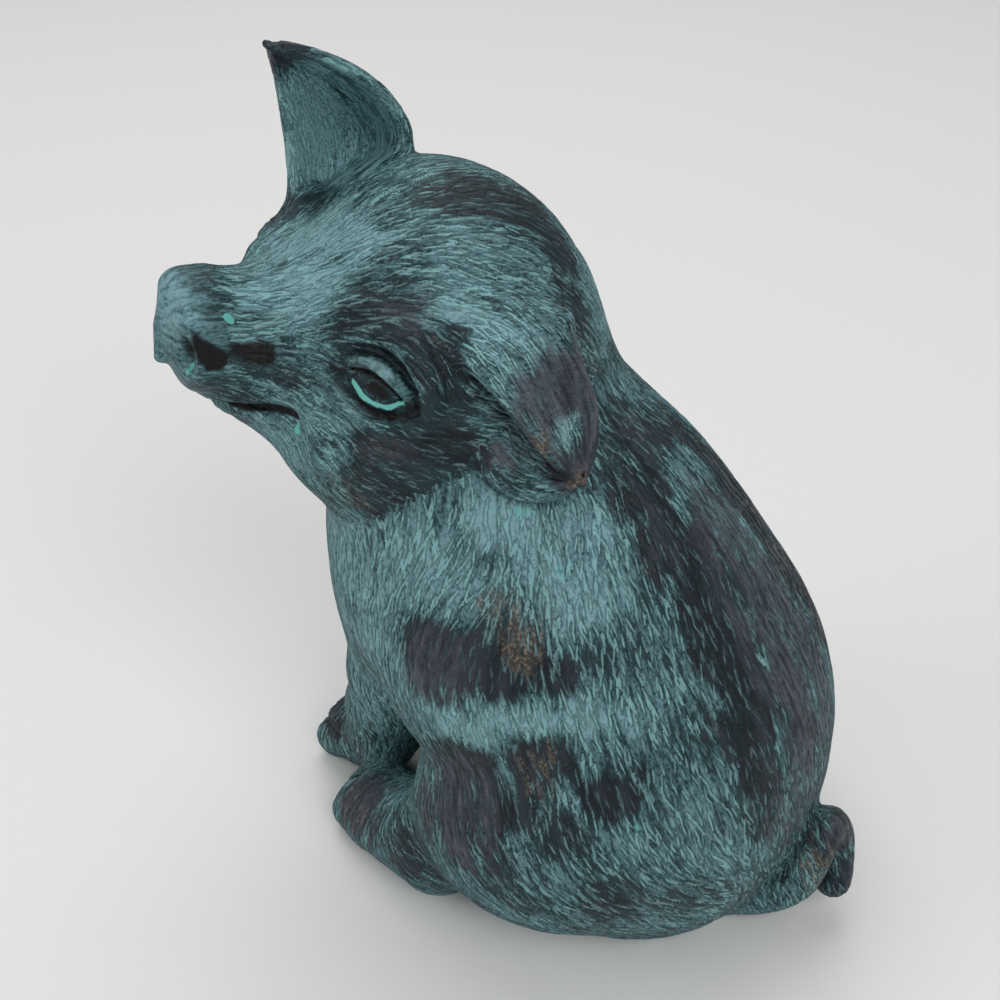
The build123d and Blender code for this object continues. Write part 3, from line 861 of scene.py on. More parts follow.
class Skin:
    """Closed mesh of a form, made of small quads on its zero surface."""

    block = 4

    def __init__(self, distance: Distance, low: Array, high: Array, pitch: float) -> None:
        """Mesh a form inside a box.

        Args:
            distance: The form's distance.
            low: Lowest corner of the box.
            high: Highest corner of the box.
            pitch: Size of a grid cell.
        """
        self.distance = distance
        self.low = low
        self.pitch = pitch
        self.shape = np.ceil((high - low) / pitch).astype(int) + 1
        self.values = self.sample()
        self.places, self.quads = self.net()
        self.settle()

    def sample(self) -> Array:
        """Distances on the grid, read closely only in blocks that the surface may cross."""
        block = self.block
        coarse_shape = (self.shape - 1) // block + 2
        coarse = self.read(np.indices(coarse_shape).reshape(3, -1).T * block).reshape(coarse_shape)
        values = np.repeat(np.repeat(np.repeat(coarse, block, 0), block, 1), block, 2)
        nearest = np.abs(coarse[:-1, :-1, :-1])
        for a, b, c in ((1, 0, 0), (0, 1, 0), (0, 0, 1), (1, 1, 0), (1, 0, 1), (0, 1, 1), (1, 1, 1)):
            ends = [n - 1 for n in coarse_shape]
            nearest = np.minimum(nearest, np.abs(coarse[a : a + ends[0], b : b + ends[1], c : c + ends[2]]))
        crossed = np.argwhere(nearest < 1.25 * block * self.pitch)
        inner = np.indices((block, block, block)).reshape(3, -1).T
        for i in range(0, len(crossed), 4000):
            spots = (crossed[i : i + 4000, None] * block + inner).reshape(-1, 3)
            values[tuple(spots.T)] = self.read(spots)
        return values[tuple(slice(0, n) for n in self.shape)]

    def read(self, spots: Array) -> Array:
        """Distances at grid spots.

        Args:
            spots: Rows of three grid numbers.

        Returns:
            The distances there.
        """
        return self.distance((self.low + self.pitch * spots).astype(np.float32)).astype(np.float32)

    def net(self) -> tuple[Array, Array]:
        """One place in each cell that the surface crosses, and a quad round each crossed grid edge."""
        v = self.values
        inside = v < 0
        cells = tuple(n - 1 for n in self.shape)
        total = np.zeros(cells + (3,), np.float32)
        count = np.zeros(cells, np.float32)
        corners = [(a, b, c) for a in (0, 1) for b in (0, 1) for c in (0, 1)]
        view = {c: tuple(slice(o, o + n) for o, n in zip(c, cells)) for c in corners}
        for start in corners:
            for axis in range(3):
                if start[axis]:
                    continue
                end = tuple(o + (k == axis) for k, o in enumerate(start))
                a, b = v[view[start]], v[view[end]]
                crossed = inside[view[start]] != inside[view[end]]
                share = np.where(crossed, a / np.where(crossed, a - b, 1), 0)
                for k in range(3):
                    total[..., k] += np.where(crossed, start[k] + (share if k == axis else 0), 0)
                count += crossed
        active = count > 0
        index = np.full(cells, -1, np.int64)
        index[active] = np.arange(active.sum())
        where = np.argwhere(active)
        places = self.low + self.pitch * (where + total[active] / count[active][:, None])
        quads = []
        for axis in range(3):
            b, c = (axis + 1) % 3, (axis + 2) % 3
            first = np.take(inside, range(self.shape[axis] - 1), axis)
            second = np.take(inside, range(1, self.shape[axis]), axis)
            edge = np.argwhere(first != second)
            held = (edge[:, b] > 0) & (edge[:, c] > 0) & (edge[:, b] < cells[b]) & (edge[:, c] < cells[c])
            edge = edge[held]
            ring = []
            for db, dc in ((1, 1), (0, 1), (0, 0), (1, 0)):
                cell = edge.copy()
                cell[:, b] -= db
                cell[:, c] -= dc
                ring.append(index[tuple(cell.T)])
            ring = np.stack(ring, 1)
            flip = ~first[tuple(edge.T)]
            ring[flip] = ring[flip][:, ::-1]
            quads.append(ring)
        return places.astype(np.float32), np.concatenate(quads)

    def settle(self) -> None:
        """Smooth the net a little, then draw it back onto the surface."""
        for _ in range(2):
            total = np.zeros_like(self.places)
            count = np.zeros(len(self.places), np.float32)
            for k in range(4):
                corner = self.quads[:, k]
                for step in (1, 3):
                    other = self.places[self.quads[:, (k + step) % 4]]
                    for axis in range(3):
                        total[:, axis] += np.bincount(corner, other[:, axis], len(self.places))
                    count += np.bincount(corner, minlength=len(self.places))
            self.places = 0.45 * self.places + 0.55 * total / count[:, None]
        for _ in range(2):
            spots = np.array([(1, -1, -1), (-1, -1, 1), (-1, 1, -1), (1, 1, 1)], np.float32)
            reach = 0.3 * self.pitch
            values = [self.distance(self.places + reach * s) for s in spots]
            slope = sum(s * d[:, None] for s, d in zip(spots, values)) / (4 * reach)
            level = sum(values) / 4
            size = np.maximum((slope * slope).sum(1), 0.3)
            move = slope * (level / size)[:, None]
            far = np.maximum(length_of(move) / (0.5 * self.pitch), 1)
            self.places = self.places - move / far[:, None]


DICE = np.random.default_rng(7).random(1 << 21, dtype=np.float32)


def chance(cells: Array, salt: int) -> Array:
    """Repeatable random number from 0 to 1 for each whole-numbered cell.

    Args:
        cells: Cells as rows of three whole numbers.
        salt: Which of the cell's numbers.

    Returns:
        One number for each cell.
    """
    c = cells.astype(np.int32)
    spot = ((c[:, 0] & 127) << 14) + ((c[:, 1] & 127) << 7) + (c[:, 2] & 127)
    return DICE[(spot + salt * 7919) & (len(DICE) - 1)]


def mottle(points: Array, size: float, salt: int) -> Array:
    """Smooth random field from 0 to 1.

    Args:
        points: Places to read it at.
        size: Size of its spots.
        salt: Which field.

    Returns:
        The field's values.
    """
    scaled = points / size
    base = np.floor(scaled)
    part = scaled - base
    part = part * part * (3 - 2 * part)
    total = np.zeros(len(points), np.float32)
    for corner in ((a, b, c) for a in (0, 1) for b in (0, 1) for c in (0, 1)):
        weight = np.prod([part[:, k] if corner[k] else 1 - part[:, k] for k in range(3)], axis=0)
        total += weight * chance(base + corner, salt)
    return total


@dataclass(frozen=True)
class HairMark:
    """Direction in which the modelled hair lies at one place."""

    place: Triple
    towards: Triple


BODY_HAIR = (
    HairMark((33, 20, 79), (0.3, 0.4, -0.9)),
    HairMark((17, 35, 81), (0.2, 0.5, -0.8)),
    HairMark((5, 45, 69), (0.0, 0.5, -0.8)),
    HairMark((0, 20, 101), (0.0, 0.7, -0.7)),
    HairMark((0, 8, 111), (0.0, 0.8, -0.6)),
    HairMark((43, 9, 70), (0.2, 0.3, -1.0)),
    HairMark((43, -10, 74), (0.2, 0.0, -1.0)),
    HairMark((38, -9, 87), (0.4, -0.4, -0.8)),
    HairMark((38, -24, 80), (0.2, -0.2, -1.0)),
    HairMark((33, -38, 76), (0.2, 0.1, -1.0)),
    HairMark((0, -55, 74), (0.0, 0.0, -1.0)),
    HairMark((47, -5, 42), (0.4, 0.3, -0.8)),
    HairMark((48, 12, 46), (0.3, 0.4, -0.8)),
    HairMark((43, 27, 51), (0.1, 0.4, -0.9)),
    HairMark((32, 41, 52), (0.0, 0.4, -0.9)),
    HairMark((17, 52, 46), (-0.1, 0.3, -1.0)),
    HairMark((48, 24, 34), (-0.2, 0.7, -0.6)),
    HairMark((52, 8, 30), (0.1, 0.8, -0.6)),
    HairMark((36, 40, 30), (-0.5, 0.6, -0.7)),
    HairMark((17, 22, 96), (0.2, 0.6, -0.8)),
    HairMark((27, 8, 97), (0.5, 0.3, -0.8)),
    HairMark((12, -50, 30), (0.0, 0.1, -1.0)),
    HairMark((36, -32, 13), (0.5, -0.2, -0.8)),
    HairMark((44, -17, 17), (0.2, 0.9, -0.3)),
)
HEAD_HAIR = (
    HairMark((26, 4, 19), (-0.9, 0.2, 0.5)),
    HairMark((14, 5, 28), (-0.9, 0.2, 0.4)),
    HairMark((-6, 8, 31), (-1.0, 0.3, -0.2)),
    HairMark((-20, 16, 20), (-0.7, 0.3, -0.7)),
    HairMark((8, 22, 25), (-0.8, 0.5, 0.0)),
    HairMark((18, 16, 22), (-0.8, 0.5, 0.3)),
    HairMark((36, 8, 14), (-0.9, 0.3, 0.3)),
    HairMark((48, 6, 14), (-0.9, 0.3, 0.1)),
    HairMark((14, 30, 12), (-0.4, 0.6, -0.7)),
    HairMark((28, 22, 3), (-0.7, 0.6, -0.3)),
    HairMark((30, 21, -9), (-0.5, 0.4, -0.8)),
    HairMark((18, 28, -17), (-0.9, 0.3, -0.3)),
    HairMark((12, 34, 1), (-0.9, 0.3, -0.1)),
    HairMark((12, 34, -8), (-0.9, 0.2, -0.1)),
    HairMark((42, 12, 4), (-0.8, 0.5, -0.3)),
    HairMark((36, 8, -15), (-0.7, 0.4, -0.6)),
    HairMark((-30, 6, -6), (-0.2, 0.1, -1.0)),
)


@dataclass(frozen=True)
class Coat:
    """Modelled hair: short tooled strokes that follow the hair marks."""

    stroke_cell: float = 2.0
    stroke_half_length: float = 2.1
    stroke_reach: float = 0.9
    stroke_lean: float = 0.55
    depth: float = 0.26
    brushed_length: float = 4.5

    def direction(self, points: Array, normals: Array, head_share: Array) -> Array:
        """Hair direction along the surface.

        Args:
            points: Places on the surface.
            normals: Outward directions there.
            head_share: 1 on the head and 0 on the body.

        Returns:
            Unit vectors along the surface.
        """
        seat = HeadSeat()
        local = seat.local(points)
        body = np.zeros_like(points)
        head = np.zeros_like(points)
        for mark in BODY_HAIR:
            for side in ((1, -1) if mark.place[0] else (1,)):
                mirror = np.array([side, 1, 1], np.float32)
                gap = points - mark.place * mirror
                body += (1 / ((gap * gap).sum(1) + 40) ** 1.6)[:, None] * (mark.towards * mirror)
        for mark in HEAD_HAIR:
            for side in (1, -1):
                mirror = np.array([1, side, 1], np.float32)
                gap = local - mark.place * mirror
                head += (1 / ((gap * gap).sum(1) + 20) ** 1.6)[:, None] * (mark.towards * mirror)
        head = unit(head) @ seat.axes().T
        flow = head_share[:, None] * head + (1 - head_share[:, None]) * unit(body)
        flow = flow - (flow * normals).sum(1)[:, None] * normals
        return unit(flow).astype(np.float32)

    def strokes(
        self, points: Array, normals: Array, flow: Array, scale: float, salt: int
    ) -> tuple[Array, Array]:
        """Tooled strokes.

        Args:
            points: Places on the surface.
            normals: Outward directions there.
            flow: Hair direction there.
            scale: Size of the strokes against the usual ones.
            salt: Which set of strokes.

        Returns:
            1 on a stroke's middle line falling to 0 beside it, and a random number of that stroke.
        """
        cell = self.stroke_cell * scale
        across = np.cross(normals, flow)
        base = np.floor(points / cell)
        depth = np.zeros(len(points), np.float32)
        mark = np.zeros(len(points), np.float32)
        for step in ((a, b, c) for a in (-1, 0, 1) for b in (-1, 0, 1) for c in (-1, 0, 1)):
            there = base + step
            centre = (there + np.stack([chance(there, salt + k) for k in range(3)], 1)) * cell
            gap = points - centre.astype(np.float32)
            height = np.abs((gap * normals).sum(1))
            along, side = (gap * flow).sum(1), (gap * across).sum(1)
            lean = (chance(there, salt + 3) - 0.5) * self.stroke_lean
            side = side + lean * along
            half = self.stroke_half_length * scale * (0.55 + 0.45 * chance(there, salt + 4))
            past = np.clip(np.abs(along) - half, 0, None)
            side = side * (1 + 0.7 * np.clip(along / half, -1, 1) ** 2)
            value = 1 - np.sqrt(side * side + past * past) / (self.stroke_reach * scale)
            value = value * (1 - ease(height, 0.45 * cell, 0.55 * cell))
            better = value > depth
            depth = np.where(better, value, depth)
            mark = np.where(better, chance(there, salt + 6), mark)
        return depth, mark

    def brushed(self, points: Array, flow: Array, size: float, length: float, salt: int) -> Array:
        """Streaks along the hair, from 0 to 1.

        Args:
            points: Places on the surface.
            flow: Hair direction there.
            size: Width of a streak.
            length: Length of a streak.
            salt: Which streaks.

        Returns:
            The streaks' values.
        """
        steps = np.linspace(-0.5, 0.5, 9) * length
        total = sum(mottle(points + s * flow, size, salt) for s in steps) / len(steps)
        return np.clip(0.5 + (total - 0.5) * 2.8, 0, 1)


class Stain(Enum):
    """What a patch or touch shows; the black touches include painted shade and the plum patches a painted
    sheen.
    """

    DARK = 0
    GOLD = 1
    TEAL = 2
    INK_AND_SHADE = 3
    BRIGHT = 4
    PALE = 5
    PLUM_AND_SHEEN = 6


@dataclass(frozen=True)
class Patch:
    """Patch of the finish."""

    stain: Stain
    place: Triple
    radii: Triple
    strength: float = 1.0
    on_head: bool = False
    both_sides: bool = True


@dataclass(frozen=True)
class Touch:
    """Crisp hand-painted touch on the head, along a path or at one place; some black touches are painted shade
    in the face's grooves and hollows.
    """

    stain: Stain
    path: Path
    radii: tuple[float, ...]
    soft: float = 0.5
    near_side_only: bool = False


def face_touches() -> tuple[Touch, ...]:
    """Black, pale and turquoise touches of the face, in forward, left and up; the black ones in the mouth, lid
    crease, eye slit, under the eye, at its corner and in the nostril are painted shade.
    """
    head = Head()
    side_patch = ((52.2, 9.8, 12.4), (51.2, 10.8, 10.4), (50.2, 11.4, 8.8), (48.6, 11.8, 7.4))
    under_eye = head.on_face(((-3.6, -3.6), (-0.4, -4.5), (2.8, -4.5), (5.8, -3.0), (7.6, -0.6)), -0.3)
    eye_corner = head.on_face(((-9.4, -0.4), (-7.0, 0.0)), 0.0)
    pupil = head.from_eye([(-0.8, 0.1, 0.8), (1.5, -0.5, 0.7)])
    above = head.from_eye([(x, y, z + 0.7) for x, y, z in head.upper_lid()[2:-5]])
    below = head.from_eye([(x, y + 0.3, z + 0.45) for x, y, z in head.lower_lid()[1:]])
    pouch = head.on_face(((-7.6, -2.6), (-4.4, -5.2), (-1.0, -6.4)), 0.3)
    ear_root = ((23.0, -23, 20.0), (23.5, -25, 28), (24.5, -25, 35))
    mouth_corner = ((37.0, 16.2, -4.6), (35.4, 17.8, -5.2), (35.2, 18.0, -6.6))
    return (
        Touch(Stain.INK_AND_SHADE, side_patch, (0.7, 1.8, 2.5, 2.0), 0.9),
        Touch(Stain.INK_AND_SHADE, ((44.6, 11.4, 8.9), (42.2, 11.7, 8.2), (40.2, 12.1, 7.8)), (1.3, 2.3, 2.0), 1.3),
        Touch(Stain.INK_AND_SHADE, ((47.4, 11.5, 8.0), (45.2, 11.4, 8.6)), (0.7, 0.5), 1.6),
        # Painted shade: black in the mouth groove, the lid crease and the slit under the upper lid.
        Touch(Stain.INK_AND_SHADE, head.on_skin(head.mouth, -0.4), (1.4, 1.6, 1.6, 1.4, 0.9, 0.4), 0.5),
        Touch(Stain.INK_AND_SHADE, head.lid_crease(), (0.28,), 0.9),
        Touch(Stain.INK_AND_SHADE, head.slit(), (0.35, 0.8, 0.9, 0.85, 0.6), 0.4),
        Touch(Stain.INK_AND_SHADE, pupil, (1.05, 0.95), 0.4),
        # Painted shade: black under the lower lid, in the eye's inner corner and in the nostril hole.
        Touch(Stain.INK_AND_SHADE, under_eye, (0.5, 0.9, 0.9, 0.7, 0.5), 1.2),
        Touch(Stain.INK_AND_SHADE, eye_corner, (0.4, 0.8), 1.4),
        Touch(Stain.INK_AND_SHADE, ((52.2, 8.2, 8.8), (52.0, 8.2, 7.2)), (1.9, 1.8), 1.4),
        Touch(Stain.PALE, above, (0.3, 0.85, 1.0, 0.9, 0.7, 0.3), 1.1),
        Touch(Stain.PALE, pouch, (0.5,), 1.4),
        Touch(Stain.BRIGHT, below, (0.25, 0.42, 0.5, 0.48, 0.4), 0.5),
        Touch(Stain.BRIGHT, ((51.8, 8.4, 5.2), (53.0, 8.6, 4.0)), (1.0, 1.1), 1.6),
        Touch(Stain.PALE, ((53.4, 1.0, 16.4), (53.9, 4.4, 13.4)), (0.8, 0.6), 2.2),
        Touch(Stain.PALE, ear_root, (1.5,), 5.0, True),
        Touch(Stain.BRIGHT, ((45.7, 8.3, 14.0), (45.1, 8.8, 13.6)), (0.75, 0.6), 0.4, True),
        Touch(Stain.BRIGHT, mouth_corner, (0.5, 0.6, 0.3), 1.6),
    )


def patches(stain: Stain, on_head: bool, both_sides: bool, *rows: PatchRow) -> tuple[Patch, ...]:
    """Patches of one stain.

    Args:
        stain: What they show.
        on_head: Whether their places are the head's forward, left and up.
        both_sides: Whether each has a mirror image.
        rows: Place, radii and strength of each.

    Returns:
        The patches.
    """
    return tuple(Patch(stain, *row, on_head, both_sides) for row in rows)


PATCHES = (
    *patches(
        Stain.DARK,
        False,
        True,
        ((12, 18, 104), (6, 7, 6), 1.2),
        ((13, 26, 96), (7, 8, 8), 1.3),
        ((14, 33, 86), (7, 8, 8), 1.5),
        ((17, 39, 75), (7, 8, 8), 1.5),
        ((19, 45, 65), (7, 7, 8), 1.4),
        ((22, 49, 55), (5, 5, 7), 1.0),
        ((24, 50, 46), (5, 5, 6), 0.5),
        ((5, 37, 84), (5, 8, 12), 0.5),
        ((8, 49, 63), (5, 7, 12), 0.5),
        ((3, 12, 109), (6, 7, 6), 0.6),
        ((43, -9, 76), (10, 9, 7), 1.2),
        ((43, 2, 77), (10, 8, 6), 1.3),
        ((40, 13, 78), (9, 8, 4), 0.8),
        ((33, 20, 80), (6, 6, 5), 0.5),
        ((45, -2, 53), (9, 9, 5), 1.3),
        ((43, 14, 60), (9, 9, 5), 1.4),
        ((47, 6, 48), (9, 9, 6), 0.9),
        ((42, 26, 57), (8, 7, 5), 1.1),
        ((48, 18, 46), (8, 8, 6), 0.6),
        ((50, -4, 42), (8, 9, 9), 1.2),
        ((51, 13, 34), (9, 9, 7), 0.5),
        ((46, 29, 32), (9, 9, 7), 0.4),
        ((36, 41, 30), (8, 8, 7), 0.35),
        ((34, -35, 15), (7, 7, 5), 0.9),
        ((44, -20, 18), (7, 9, 7), 0.6),
        ((10, -55, 14), (8, 7, 5), 0.9),
    ),
    *patches(
        Stain.DARK,
        False,
        False,
        ((0, 62, 24), (7, 5, 5), 1.0),
        ((1, 67, 11), (5, 5, 5), 1.2),
    ),
    # Plum patches here and below: a dark purple-grey tone with a painted lilac sheen.
    *patches(
        Stain.PLUM_AND_SHEEN,
        False,
        True,
        ((3, 30, 93), (6, 8, 10), 0.8),
        ((4, 41, 79), (6, 8, 10), 0.9),
        ((5, 49, 66), (7, 8, 10), 1.0),
        ((7, 54, 52), (7, 8, 10), 1.0),
        ((11, 56, 40), (8, 7, 9), 0.7),
        ((44, -10, 73), (9, 8, 10), 0.9),
        ((49, -6, 42), (9, 9, 11), 1.0),
        ((36, -35, 16), (7, 8, 6), 0.7),
    ),
    *patches(
        Stain.PLUM_AND_SHEEN,
        False,
        False,
        ((0, 62, 24), (6, 5, 6), 0.6),
    ),
    *patches(
        Stain.GOLD,
        False,
        True,
        ((38, 6, 83), (6, 5, 6), 1.0),
        ((37, 1, 88), (5, 5, 3), 0.8),
        ((43, 13, 60), (4, 4, 4), 0.9),
        ((45, 14, 55), (4, 4, 3), 0.6),
        ((34, -37, 12), (5, 5, 4), 0.5),
    ),
    *patches(
        Stain.GOLD,
        False,
        False,
        ((9, 60, 17), (4, 4, 7), 0.8),
    ),
    *patches(
        Stain.TEAL,
        False,
        True,
        ((26, 8, 99), (12, 11, 8), 1.0),
        ((30, 14, 92), (9, 9, 7), 0.8),
        ((19, 14, 103), (8, 8, 5), 0.8),
        ((45, -3, 63), (9, 9, 3.6), 1.3),
        ((43, 8, 68), (9, 9, 3.4), 1.3),
        ((40, 17, 70), (9, 9, 3.4), 1.0),
        ((36, 25, 70), (9, 9, 3.2), 0.4),
        ((40, 34, 48), (8, 8, 6), 0.4),
        ((32, -38, 81), (10, 14, 16), 0.9),
        ((37, -28, 74), (10, 9, 14), 0.8),
        ((27, -36, 42), (10, 9, 16), 0.7),
        ((36, -16, 90), (8, 12, 8), 0.7),
        ((28, -3, 101), (9, 9, 5), 1.2),
    ),
    *patches(
        Stain.TEAL,
        False,
        False,
        ((-14, 50, 56), (9, 14, 22), 0.5),
        ((0, -52, 60), (20, 12, 30), 0.6),
    ),
    *patches(
        Stain.BRIGHT,
        False,
        True,
        ((27, -1, 103), (5, 6, 1.6), 0.62),
        ((28, 10, 95), (2.2, 2.2, 2.4), 0.6),
        ((41, 10, 73), (3, 4, 1.4), 0.55),
        ((41, 33, 50), (2, 2, 1.2), 0.65),
    ),
    *patches(
        Stain.DARK,
        True,
        False,
        ((-3, 4, 31), (9, 6, 6), 1.0),
        ((4, 1, 33), (6, 5, 5), 0.5),
        ((-10, 6, 29), (8, 6, 6), 1.4),
        ((-15, 14, 25), (5, 6, 5), 1.0),
        ((-13, 25, 19), (4, 5, 5), 0.6),
        ((-7, 45, 0), (5, 6, 6), 1.2),
        ((-8, 38, 12), (6, 7, 6), 0.6),
        ((4, 40, -5), (9, 7, 5), 0.6),
        ((30, -19, 48), (6, 7, 5), 1.1),
        ((26, -26, 34), (2.4, 3, 8), 0.9),
    ),
    *patches(
        Stain.DARK,
        True,
        True,
        ((21, -16, 20), (6, 6, 5), 1.0),
        ((25, 17, 16.5), (7, 6, 4), 0.9),
        ((20, 22, 17), (6, 6, 4), 1.2),
        ((15.5, 28, 15), (5.5, 5.5, 5.5), 1.5),
        ((14.5, 32, 7), (5.5, 5, 8), 1.4),
        ((23, 29, -3.5), (5, 5, 2.8), 1.5),
        ((26, 28, -10), (3.5, 4, 4), 0.9),
        ((25, 23, 8), (7, 7, 7), 0.6),
        ((42, 12, 8), (4, 3, 2.4), 1.0),
        ((36, 14, 5), (7, 5, 4), 0.8),
        ((42, 4, 14), (8, 7, 5), 0.25),
        ((14, 34, -3), (7, 7, 9), 1.1),
        ((17, 31, -13), (8, 7, 7), 1.0),
        ((6, 35, -10), (7, 6, 6), 1.0),
        ((12, 31, -20), (7, 6, 4), 0.6),
        ((44, 10, -1), (9, 6, 4), 0.5),
    ),
    # Plum patches here and below: a dark purple-grey tone with a painted lilac sheen.
    *patches(
        Stain.PLUM_AND_SHEEN,
        True,
        False,
        ((20, 9, 24), (6, 5, 4), 0.55),
        ((-6, 40, 8), (9, 10, 13), 1.4),
        ((28, -20, 45), (6, 7, 6), 0.7),
    ),
    *patches(
        Stain.PLUM_AND_SHEEN,
        True,
        True,
        ((16, 22, 20.5), (6, 6, 4), 0.8),
        ((23, 29, -5), (5, 4, 3), 0.5),
    ),
    *patches(
        Stain.GOLD,
        True,
        True,
        ((28, 27, -14), (6, 6, 5), 0.55),
        ((24, 28, -4), (5, 5, 3), 0.45),
    ),
    *patches(
        Stain.TEAL,
        True,
        True,
        ((30, 6, 18), (12, 8, 6), 1.3),
        ((22, 4, 23), (9, 7, 5), 1.3),
        ((19, 16, 22), (7, 5, 3.5), 0.7),
        ((10, 26, 20), (7, 6, 5), 0.8),
        ((54, 3, 14), (4, 8, 4), 0.7),
        ((36, 14, -12), (8, 8, 7), 0.6),
        ((31, 21, -2), (6, 6, 4), 0.5),
        ((30, 25, -10), (4, 5, 5), 0.5),
        ((-26, 17, 8), (7, 10, 12), 0.6),
    ),
    *patches(
        Stain.GOLD,
        True,
        False,
        ((1, 46, 5), (2.6, 2.6, 4), 1.1),
        ((-7, 48, -3), (1.6, 1.6, 1.8), 1.1),
    ),
    *patches(
        Stain.TEAL,
        True,
        False,
        # Painted highlight: the first teal patch below stands for the sheen on the left ear's convex side.
        ((-5, 44, 5), (3.2, 3.4, 4), 1.5),
        ((2, 31, 17), (6, 5, 4), 1.3),
        ((16, -24, 28), (10, 9, 10), 1.7),
        ((21, -22, 36), (8, 8, 9), 1.4),
    ),
)


class NodeWriter:
    """Short way of writing a material's nodes."""

    def __init__(self, name: str) -> None:
        """Start a material with its output and shader.

        Args:
            name: The material's name.
        """
        self.material = bpy.data.materials.new(name)
        self.material.use_nodes = True
        self.tree = self.material.node_tree
        self.tree.nodes.clear()
        self.shader = self.tree.nodes.new("ShaderNodeBsdfPrincipled")
        output = self.tree.nodes.new("ShaderNodeOutputMaterial")
        self.link(self.shader.outputs["BSDF"], output.inputs["Surface"])

    def link(self, source: Socket, target: Socket) -> None:
        """Join two sockets."""
        self.tree.links.new(source, target)

    def feed(self, socket: Socket, value: object) -> None:
        """Link a socket or set its constant.

        Args:
            socket: The input.
            value: An output socket or a constant.
        """
        if isinstance(value, Socket):
            self.link(value, socket)
        elif value is not None:
            socket.default_value = value

    def maths(self, operation: str, first: object, second: object, clamp: bool = False) -> Socket:
        """Arithmetic on numbers.

        Args:
            operation: Name of the operation.
            first: First number.
            second: Second number.
            clamp: Whether the result is kept between 0 and 1.

        Returns:
            The result.
        """
        node = self.tree.nodes.new("ShaderNodeMath")
        node.operation = operation
        node.use_clamp = clamp
        self.feed(node.inputs[0], first)
        self.feed(node.inputs[1], second)
        return node.outputs[0]

    def plus(self, first: object, second: object) -> Socket:
        """Sum of two numbers."""
        return self.maths("ADD", first, second)

    def minus(self, first: object, second: object, clamp: bool = False) -> Socket:
        """Difference of two numbers."""
        return self.maths("SUBTRACT", first, second, clamp)

    def times(self, first: object, second: object, clamp: bool = False) -> Socket:
        """Product of two numbers."""
        return self.maths("MULTIPLY", first, second, clamp)

    def mix(self, share: object, first: object, second: object) -> Socket:
        """Colour mixed from two.

        Args:
            share: How much of the second.
            first: First colour.
            second: Second colour.

        Returns:
            The mixed colour.
        """
        node = self.tree.nodes.new("ShaderNodeMix")
        node.data_type = "RGBA"
        node.clamp_factor = True
        self.feed(node.inputs[0], share)
        for socket, value in ((node.inputs[6], first), (node.inputs[7], second)):
            self.feed(socket, value if isinstance(value, Socket) else (*value, 1))
        return node.outputs[2]

    def step(self, value: object, low: float, high: float) -> Socket:
        """Smooth step from 0 at low to 1 at high.

        Args:
            value: The number.
            low: Where the step starts.
            high: Where it ends.

        Returns:
            The stepped number.
        """
        node = self.tree.nodes.new("ShaderNodeMapRange")
        node.interpolation_type = "SMOOTHSTEP"
        self.feed(node.inputs[0], value)
        node.inputs[1].default_value, node.inputs[2].default_value = low, high
        return node.outputs[0]

    def noise(
        self, scale: float, detail: float = 2.0, stretch: Triple | None = None, turn: Triple = (0, 0, 0)
    ) -> Socket:
        """Noise on the object's own coordinates.

        Args:
            scale: Spots in a metre.
            detail: Finer layers.
            stretch: Scale of each axis, or None for an even noise.
            turn: Angles by which the coordinates are turned before they are scaled.

        Returns:
            The noise from 0 to 1.
        """
        place = self.tree.nodes.new("ShaderNodeTexCoord").outputs["Object"]
        for change, amount in (("Rotation", turn), ("Scale", stretch)) if stretch else ():
            mapping = self.tree.nodes.new("ShaderNodeMapping")
            self.link(place, mapping.inputs[0])
            mapping.inputs[change].default_value = amount
            place = mapping.outputs[0]
        node = self.tree.nodes.new("ShaderNodeTexNoise")
        node.inputs["Scale"].default_value = scale
        node.inputs["Detail"].default_value = detail
        self.link(place, node.inputs["Vector"])
        return node.outputs[0]

    def bump(self, height: Socket, depth: float, strength: float = 1.0) -> None:
        """Fine relief.

        Args:
            height: Relief from 0 to 1.
            depth: Its height in metres.
            strength: How much of it shows.
        """
        node = self.tree.nodes.new("ShaderNodeBump")
        node.inputs["Distance"].default_value = depth
        node.inputs["Strength"].default_value = strength
        self.link(height, node.inputs["Height"])
        self.link(node.outputs[0], self.shader.inputs["Normal"])

    def channels(self, name: str) -> list[Socket]:
        """Red, green, blue and alpha of a surface attribute."""
        node = self.tree.nodes.new("ShaderNodeAttribute")
        node.attribute_name = name
        split = self.tree.nodes.new("ShaderNodeSeparateColor")
        self.link(node.outputs["Color"], split.inputs[0])
        return [*split.outputs, node.outputs["Alpha"]]


